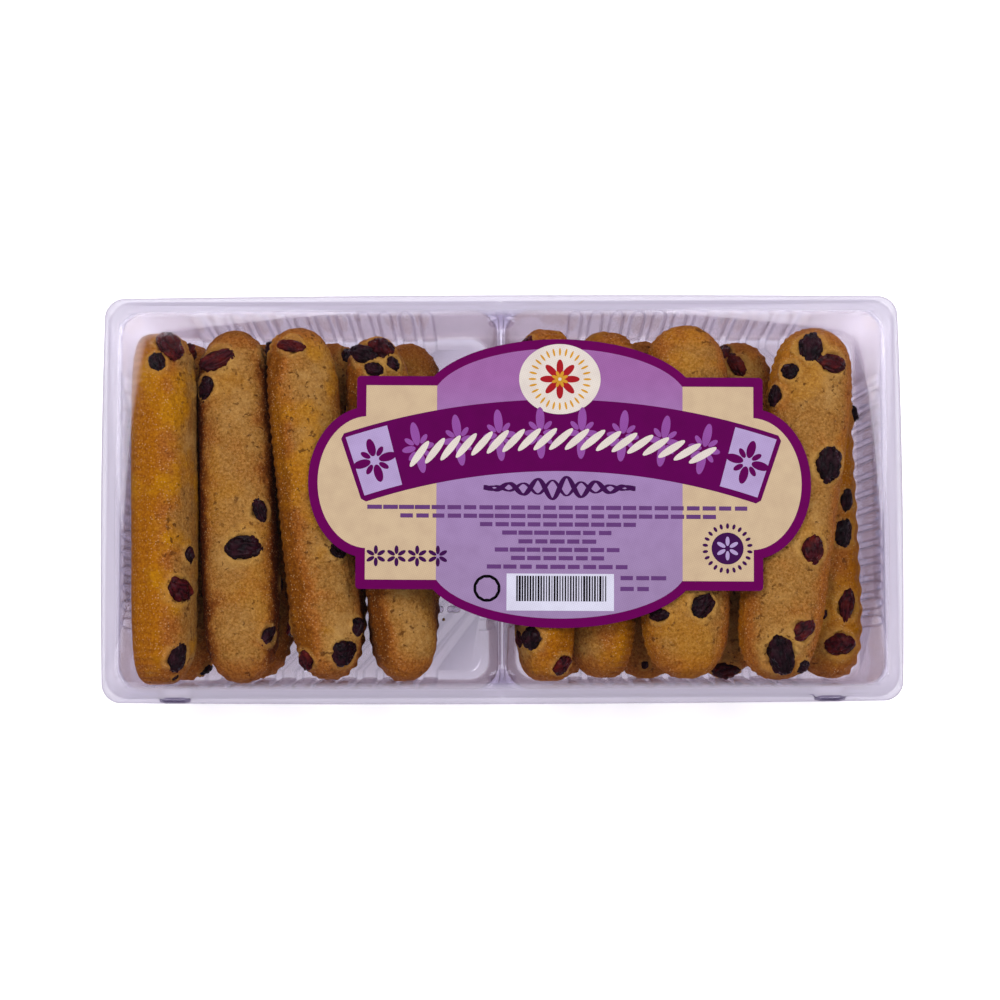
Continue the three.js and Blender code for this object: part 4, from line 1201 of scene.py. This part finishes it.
def printed_paper(name, *codes):
    """Offset print on coated paper: flat ink under a soft gloss, broken up by a screen of fine dots.
    The real screen is 0.15 mm; it is drawn 0.5 mm wide. With three inks the tone changes downwards."""
    material, tree = new_material(name)
    place = add(tree, "TexCoord").outputs["Object"]
    ink = linear(codes[0])
    if len(codes) == 3:
        upright = add(tree, "SeparateXYZ", (place,)).outputs["Y"]
        span = [(label_middle.y + share * SHOULDER[1]) * MM for share in (1, 0.1, -0.9)]
        upper = add(tree, "MapRange", (upright, span[0], span[1]))
        lower = add(tree, "MapRange", (upright, span[1], span[2]))
        ink = add(tree, "Mix", (upper, linear(codes[0]), linear(codes[1])), data_type="RGBA")
        ink = add(tree, "Mix", (lower, ink, linear(codes[2])), data_type="RGBA")
    turned = add(tree, "Mapping", {"Vector": place, "Rotation": (0, 0, math.radians(22))})
    dots = add(tree, "TexVoronoi", {"Vector": turned, "Scale": 1 / (0.5 * MM), "Randomness": 0.0})
    dots = add(tree, "MapRange", (dots.outputs["Distance"], 0.2, 0.45, 0.0, 0.5))
    mottle = add(tree, "TexNoise", {"Vector": place, "Scale": 1 / (4 * MM), "Detail": 3.0})
    ink = add(tree, "Mix", (dots, ink, linear("#dcd4dc")), data_type="RGBA", blend_type="MULTIPLY")
    worn = add(tree, "MapRange", (mottle, 0.35, 0.75, 0.0, 0.4))
    ink = add(tree, "Mix", (worn, ink, linear("#e2dbe0")), data_type="RGBA", blend_type="MULTIPLY")
    gloss = add(tree, "MapRange", (mottle, 0.3, 0.7, 0.4, 0.5))
    fibre = add(tree, "TexNoise", {"Vector": place, "Scale": 1 / (0.6 * MM), "Detail": 2.0})
    bump = add(tree, "Bump", {"Strength": 0.12, "Distance": 0.05 * MM, "Height": fibre})
    surface = add(tree, "BsdfPrincipled", {"Base Color": ink, "Roughness": gloss, "Normal": bump,
                                           "IOR": 1.45, "Specular IOR Level": 0.03})
    add(tree, "OutputMaterial", (surface,))
    return material


def set_round():
    """Geometry nodes: copies of a motif along an arc, each turned to stand on it. Angles are from
    the upright, clockwise, in radians."""
    tree, given = new_tree("set_round", Motif="Object", Count="Int", Radius="Float", Start="Float",
                           Step="Float", Centre="Vector", Material="Material")
    line = add(tree, "MeshLine", {"Count": given["Count"]})
    angle = add(tree, "Math", (add(tree, "InputIndex"), given["Step"], given["Start"]), "MULTIPLY_ADD")
    x = add(tree, "Math", (add(tree, "Math", (angle,), "SINE"), given["Radius"]), "MULTIPLY")
    y = add(tree, "Math", (add(tree, "Math", (angle,), "COSINE"), given["Radius"]), "MULTIPLY")
    place = add(tree, "VectorMath", (add(tree, "CombineXYZ", (x, y, 0.0)), given["Centre"]), "ADD")
    line = add(tree, "SetPosition", {"Geometry": line, "Position": place})
    turn = add(tree, "CombineXYZ", (0.0, 0.0, add(tree, "Math", (angle, -1.0), "MULTIPLY")))
    motif = add(tree, "ObjectInfo", {"Object": given["Motif"]}).outputs["Geometry"]
    copies = add(tree, "InstanceOnPoints", {"Points": line, "Instance": motif, "Rotation": turn})
    return end_tree(tree, given, copies, smooth=False)


def row_of_bars():
    """Geometry nodes: a row of bars of random width, for the small print and the bar code."""
    tree, given = new_tree("row_of_bars", Count="Int", Pitch="Float", Height="Float", Thickness="Float",
                           Least="Float", Most="Float", Seed="Int", Place="Vector", Material="Material")
    step = add(tree, "CombineXYZ", (given["Pitch"], 0.0, 0.0))
    line = add(tree, "MeshLine", {"Count": given["Count"], "Start Location": given["Place"], "Offset": step})
    width = add(tree, "RandomValue", {"Min": given["Least"], "Max": given["Most"], "Seed": given["Seed"]})
    width = add(tree, "Math", (width, given["Pitch"]), "MULTIPLY")
    size = add(tree, "CombineXYZ", (width, given["Height"], given["Thickness"]))
    bars = add(tree, "InstanceOnPoints", {"Points": line, "Instance": add(tree, "MeshCube"), "Scale": size})
    return end_tree(tree, given, bars, smooth=False)


def petals(count, middle, half_length, half_width, turn=0.0):
    """Outlines of leaf-shaped petals round a point."""
    outlines = []
    for number in range(count):
        angle = turn + number * 2 * math.pi / count
        along = np.array([math.sin(angle), math.cos(angle)])
        aside = np.array([along[1], -along[0]])
        steps = np.linspace(0, 2 * math.pi, 20, endpoint=False)
        leaf = [along * (middle + half_length * math.cos(t)) + aside * half_width * math.sin(t)
                for t in steps]
        outlines.append([tuple(point) for point in leaf][::-1])
    return outlines


def ribbon(points, widths):
    """The outline of a stroke along these points with these widths."""
    points = np.array(points)
    along = np.gradient(points, axis=0)
    along /= np.linalg.norm(along, axis=1)[:, None]
    aside = np.column_stack([-along[:, 1], along[:, 0]]) * np.array(widths)[:, None] / 2
    return [tuple(p) for p in points - aside] + [tuple(p) for p in (points + aside)[::-1]]


paper = {
    "border": printed_paper("print_deep_purple", "#60004e"),
    "cream": printed_paper("print_cream", "#c3ad8b"),
    "lilac": printed_paper("print_lilac", "#956199", "#997daa", "#947da2"),
    "band": printed_paper("print_plum", "#59004c"),
    "panel": printed_paper("print_pale_lilac", "#aa98c0"),
    "motif": printed_paper("print_mid_lilac", "#8a4c96"),
    "ivory": printed_paper("print_ivory", "#d6cfc2"),
    "ink": printed_paper("print_dark_violet", "#3a1046"),
    "small": printed_paper("print_violet", "#5f3a70"),
    "black": printed_paper("print_black", "#0a070c"),
    "white": printed_paper("print_white", "#cfd0de"),
    "gold": printed_paper("print_gold", "#c9932c"),
    "red": printed_paper("print_red", "#9c1a22"),
}
round_tree = set_round()
bars_tree = row_of_bars()


def around(motif_outlines, ink, layer, centre, count=1, radius=0.0, start=0.0, step=0.0):
    """Sets a motif of one ink round an arc on the label, or one motif in its middle. Angles are in
    degrees from the upright."""
    motif = join("motif", [plate(outline, None, paper[ink]) for outline in motif_outlines])
    made = grow("set", round_tree, {
        "Motif": motif, "Count": count, "Radius": radius * MM, "Start": math.radians(start),
        "Step": math.radians(step), "Material": paper[ink],
        "Centre": ((label_middle.x + centre[0]) * MM, (label_middle.y + centre[1]) * MM,
                   level_of(layer) * MM)})
    bpy.data.objects.remove(motif)
    return made


def bars(ink, layer, middle, count, seed, pitch, height, least, most):
    """A row of bars of one ink on the label, centred on a point."""
    start = label_middle.x + middle[0] - (count - 1) / 2 * pitch
    return grow("bars", bars_tree, {
        "Count": count, "Pitch": pitch * MM, "Height": height * MM, "Thickness": INK * MM, "Least": least,
        "Most": most, "Seed": seed, "Material": paper[ink],
        "Place": (start * MM, (label_middle.y + middle[1]) * MM, (level_of(layer) + INK / 2) * MM)})


band_end = BAND["half_angle"]
code_low, code_high = CODE_BOX
code_corners = [code_low, (code_high[0], code_low[1]), code_high, (code_low[0], code_high[1])]
fields = [
    plate(die_line(0), 0, paper["border"]),
    plate(die_line(BORDER), 1, paper["cream"]),
    plate(centre_field(), 2, paper["lilac"]),
    plate(sector(BAND["inner"], BAND["outer"], -band_end, band_end, BAND["corner"]), 3, paper["band"]),
    plate(arc(MEDALLION["centre"], MEDALLION["half"], 0, 357, 60), 4, paper["ivory"]),
    plate(code_corners, 4, paper["white"]),
]
for side in (-1, 1):
    angles = sorted(side * angle for angle in PANEL["angles"])
    fields.append(plate(sector(PANEL["inner"], PANEL["outer"], *angles), 4, paper["panel"]))

# Ornaments: rosettes and a rope twist along the band, a rosette in each panel and in the medallion.
rosette = petals(2, 3.9, 3.3, 1.2) + petals(2, 2.6, 1.9, 0.9, math.pi / 2)
rosette += petals(4, 2.9, 1.5, 0.7, math.pi / 4)
twist = petals(1, 0, 4.4, 1.0, math.radians(TWIST["slant"]))
panel_flower = petals(4, 3.7, 2.5, 1.2) + petals(4, 2.9, 1.5, 0.75, math.pi / 4)
for motif, ink, layer, row in ((rosette, "motif", 4, ROSETTES), (twist, "ivory", 5, TWIST),
                               (panel_flower, "band", 5, PANEL_FLOWERS)):
    fields.append(around(motif, ink, layer, BAND["centre"], row["count"], row["radius"],
                         -row["half_angle"], 2 * row["half_angle"] / (row["count"] - 1)))
rays = petals(1, 0, 1.1, 0.3)
fields.append(around(rays, "gold", 5, MEDALLION["centre"], MEDALLION["rays"], MEDALLION["ray_radius"],
                     step=360 / MEDALLION["rays"]))
fields.append(around(petals(8, 3.2, 2.3, 0.95), "red", 5, MEDALLION["centre"]))
fields.append(around(petals(8, 1.4, 1.0, 0.45, math.pi / 8), "gold", 6, MEDALLION["centre"]))

# A flourish of two waves that cross under the band, one broad and one fine.
sweep = np.linspace(-1, 1, 120)
phase = FLOURISH["waves"] * math.pi * sweep
for layer, swing, (least, more) in zip((4, 3), FLOURISH["swing"], FLOURISH["width"]):
    height = FLOURISH["height"] + swing * np.sin(phase) * (1.05 - abs(sweep))
    stroke = ribbon(np.column_stack([FLOURISH["half"] * sweep, height]), least + more * abs(np.cos(phase)))
    fields.append(plate(stroke, layer, paper["ink"]))

# Small print as plain bars, a row of small flowers, and the bar code.
for number, (row_start, row_end, height) in enumerate(TEXT_ROWS):
    count = round((row_end - row_start) / TEXT_BARS["pitch"])
    fields.append(bars("small", 4, ((row_start + row_end) / 2, height), count, number, **TEXT_BARS))
for x in FLOWER_ROW["places"]:
    fields.append(around(petals(6, 1.7, 1.2, 0.55), "ink", 4, (x, FLOWER_ROW["height"])))
fields.append(bars("black", 5, CODE_MIDDLE, CODE_COUNT, CODE_SEED, **CODE_BARS))

# Two round marks: a plain ring, and a disc with a flower on it and dashes round it.
ring_part = petals(1, 0, 1.5, 0.42, math.pi / 2)
fields.append(around(ring_part, "black", 4, PLAIN_RING["centre"], PLAIN_RING["count"],
                     PLAIN_RING["radius"], step=360 / PLAIN_RING["count"]))
disc = [arc((0, 0), ROUND_MARK["radius"], 0, 350, 35)]
fields.append(around(disc, "ink", 4, ROUND_MARK["centre"]))
fields.append(around(petals(6, 2.0, 1.3, 0.55), "panel", 5, ROUND_MARK["centre"]))
fields.append(around(petals(1, 0, 0.75, 0.42), "ink", 4, ROUND_MARK["centre"], ROUND_MARK["dashes"],
                     ROUND_MARK["dash_radius"], step=360 / ROUND_MARK["dashes"]))
label = join("label_print", fields)
pivot = Matrix.Translation((*(label_middle * MM), 0))
label.data.transform(pivot @ Matrix.Rotation(math.radians(LABEL_TURN), 4, "Z") @ pivot.inverted())
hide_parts("label")
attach(label, "root")


# ---------------------------------------------------------------------------------------
# Floor and light. A sheet of white acrylic, lit a little from below, two large soft boxes
# behind the pack, and a pale tent all round it that is open over the pack.
# ---------------------------------------------------------------------------------------
SOFT_BOXES = [
    # place, size, power
    ((-0.45, 0.4, 1.1), (0.5, 0.5), 4.6),
    ((0.45, 0.4, 1.1), (0.5, 0.5), 4.6),
]
TENT_LIGHT = (0.35, 1.3)
TENT_SPREAD = (0.25, 0.75)
TENT_HOLE = (math.sin(math.radians(72)), math.sin(math.radians(69)))
TENT_LEAST = 0.03
BOARD_GLOW = 0.5
BOARD_HALF = 6000

# White acrylic, sanded dull: an even pale ground without a mirror image, glowing a little.
white_board, tree = new_material("white_acrylic")
board = add(tree, "BsdfPrincipled", {"Base Color": linear("#fafafa"), "Roughness": 0.9,
                                     "Emission Color": linear("#f6f4fa"), "Emission Strength": BOARD_GLOW})
add(tree, "OutputMaterial", (board,))
floor_corners = [(x * BOARD_HALF, y * BOARD_HALF, 0) for x, y in ((-1, -1), (1, -1), (1, 1), (-1, 1))]
floor = new_piece("floor", floor_corners, [(0, 1, 2, 3)], smooth=False)
floor.data.materials.append(white_board)
for number, (place, size, power) in enumerate(SOFT_BOXES):
    lamp = bpy.data.lights.new("soft_box_%d" % number, "AREA")
    lamp.shape = "RECTANGLE"
    lamp.size, lamp.size_y = size
    lamp.energy = power
    holder = bpy.data.objects.new(lamp.name, lamp)
    holder.location = place
    holder.rotation_euler = (-Vector(place)).to_track_quat("-Z", "Y").to_euler()
    bpy.context.scene.collection.objects.link(holder)
world = bpy.data.worlds.new("light_tent")
world.use_nodes = True
tree = world.node_tree
tree.nodes.clear()
upright = add(tree, "SeparateXYZ", (add(tree, "TexCoord").outputs["Generated"],)).outputs["Z"]
tent = add(tree, "MapRange", (upright, *TENT_SPREAD, *TENT_LIGHT))
opening = add(tree, "MapRange", (upright, *TENT_HOLE, TENT_LEAST, 1.0), interpolation_type="SMOOTHSTEP")
tent = add(tree, "Math", (tent, opening), "MULTIPLY")
add(tree, "OutputWorld", (add(tree, "Background", (linear("#f1eff6"), tent)),))
bpy.context.scene.world = world
bpy.context.scene.view_settings.view_transform = "Standard"
bpy.context.scene.cycles.transparent_max_bounces = 48
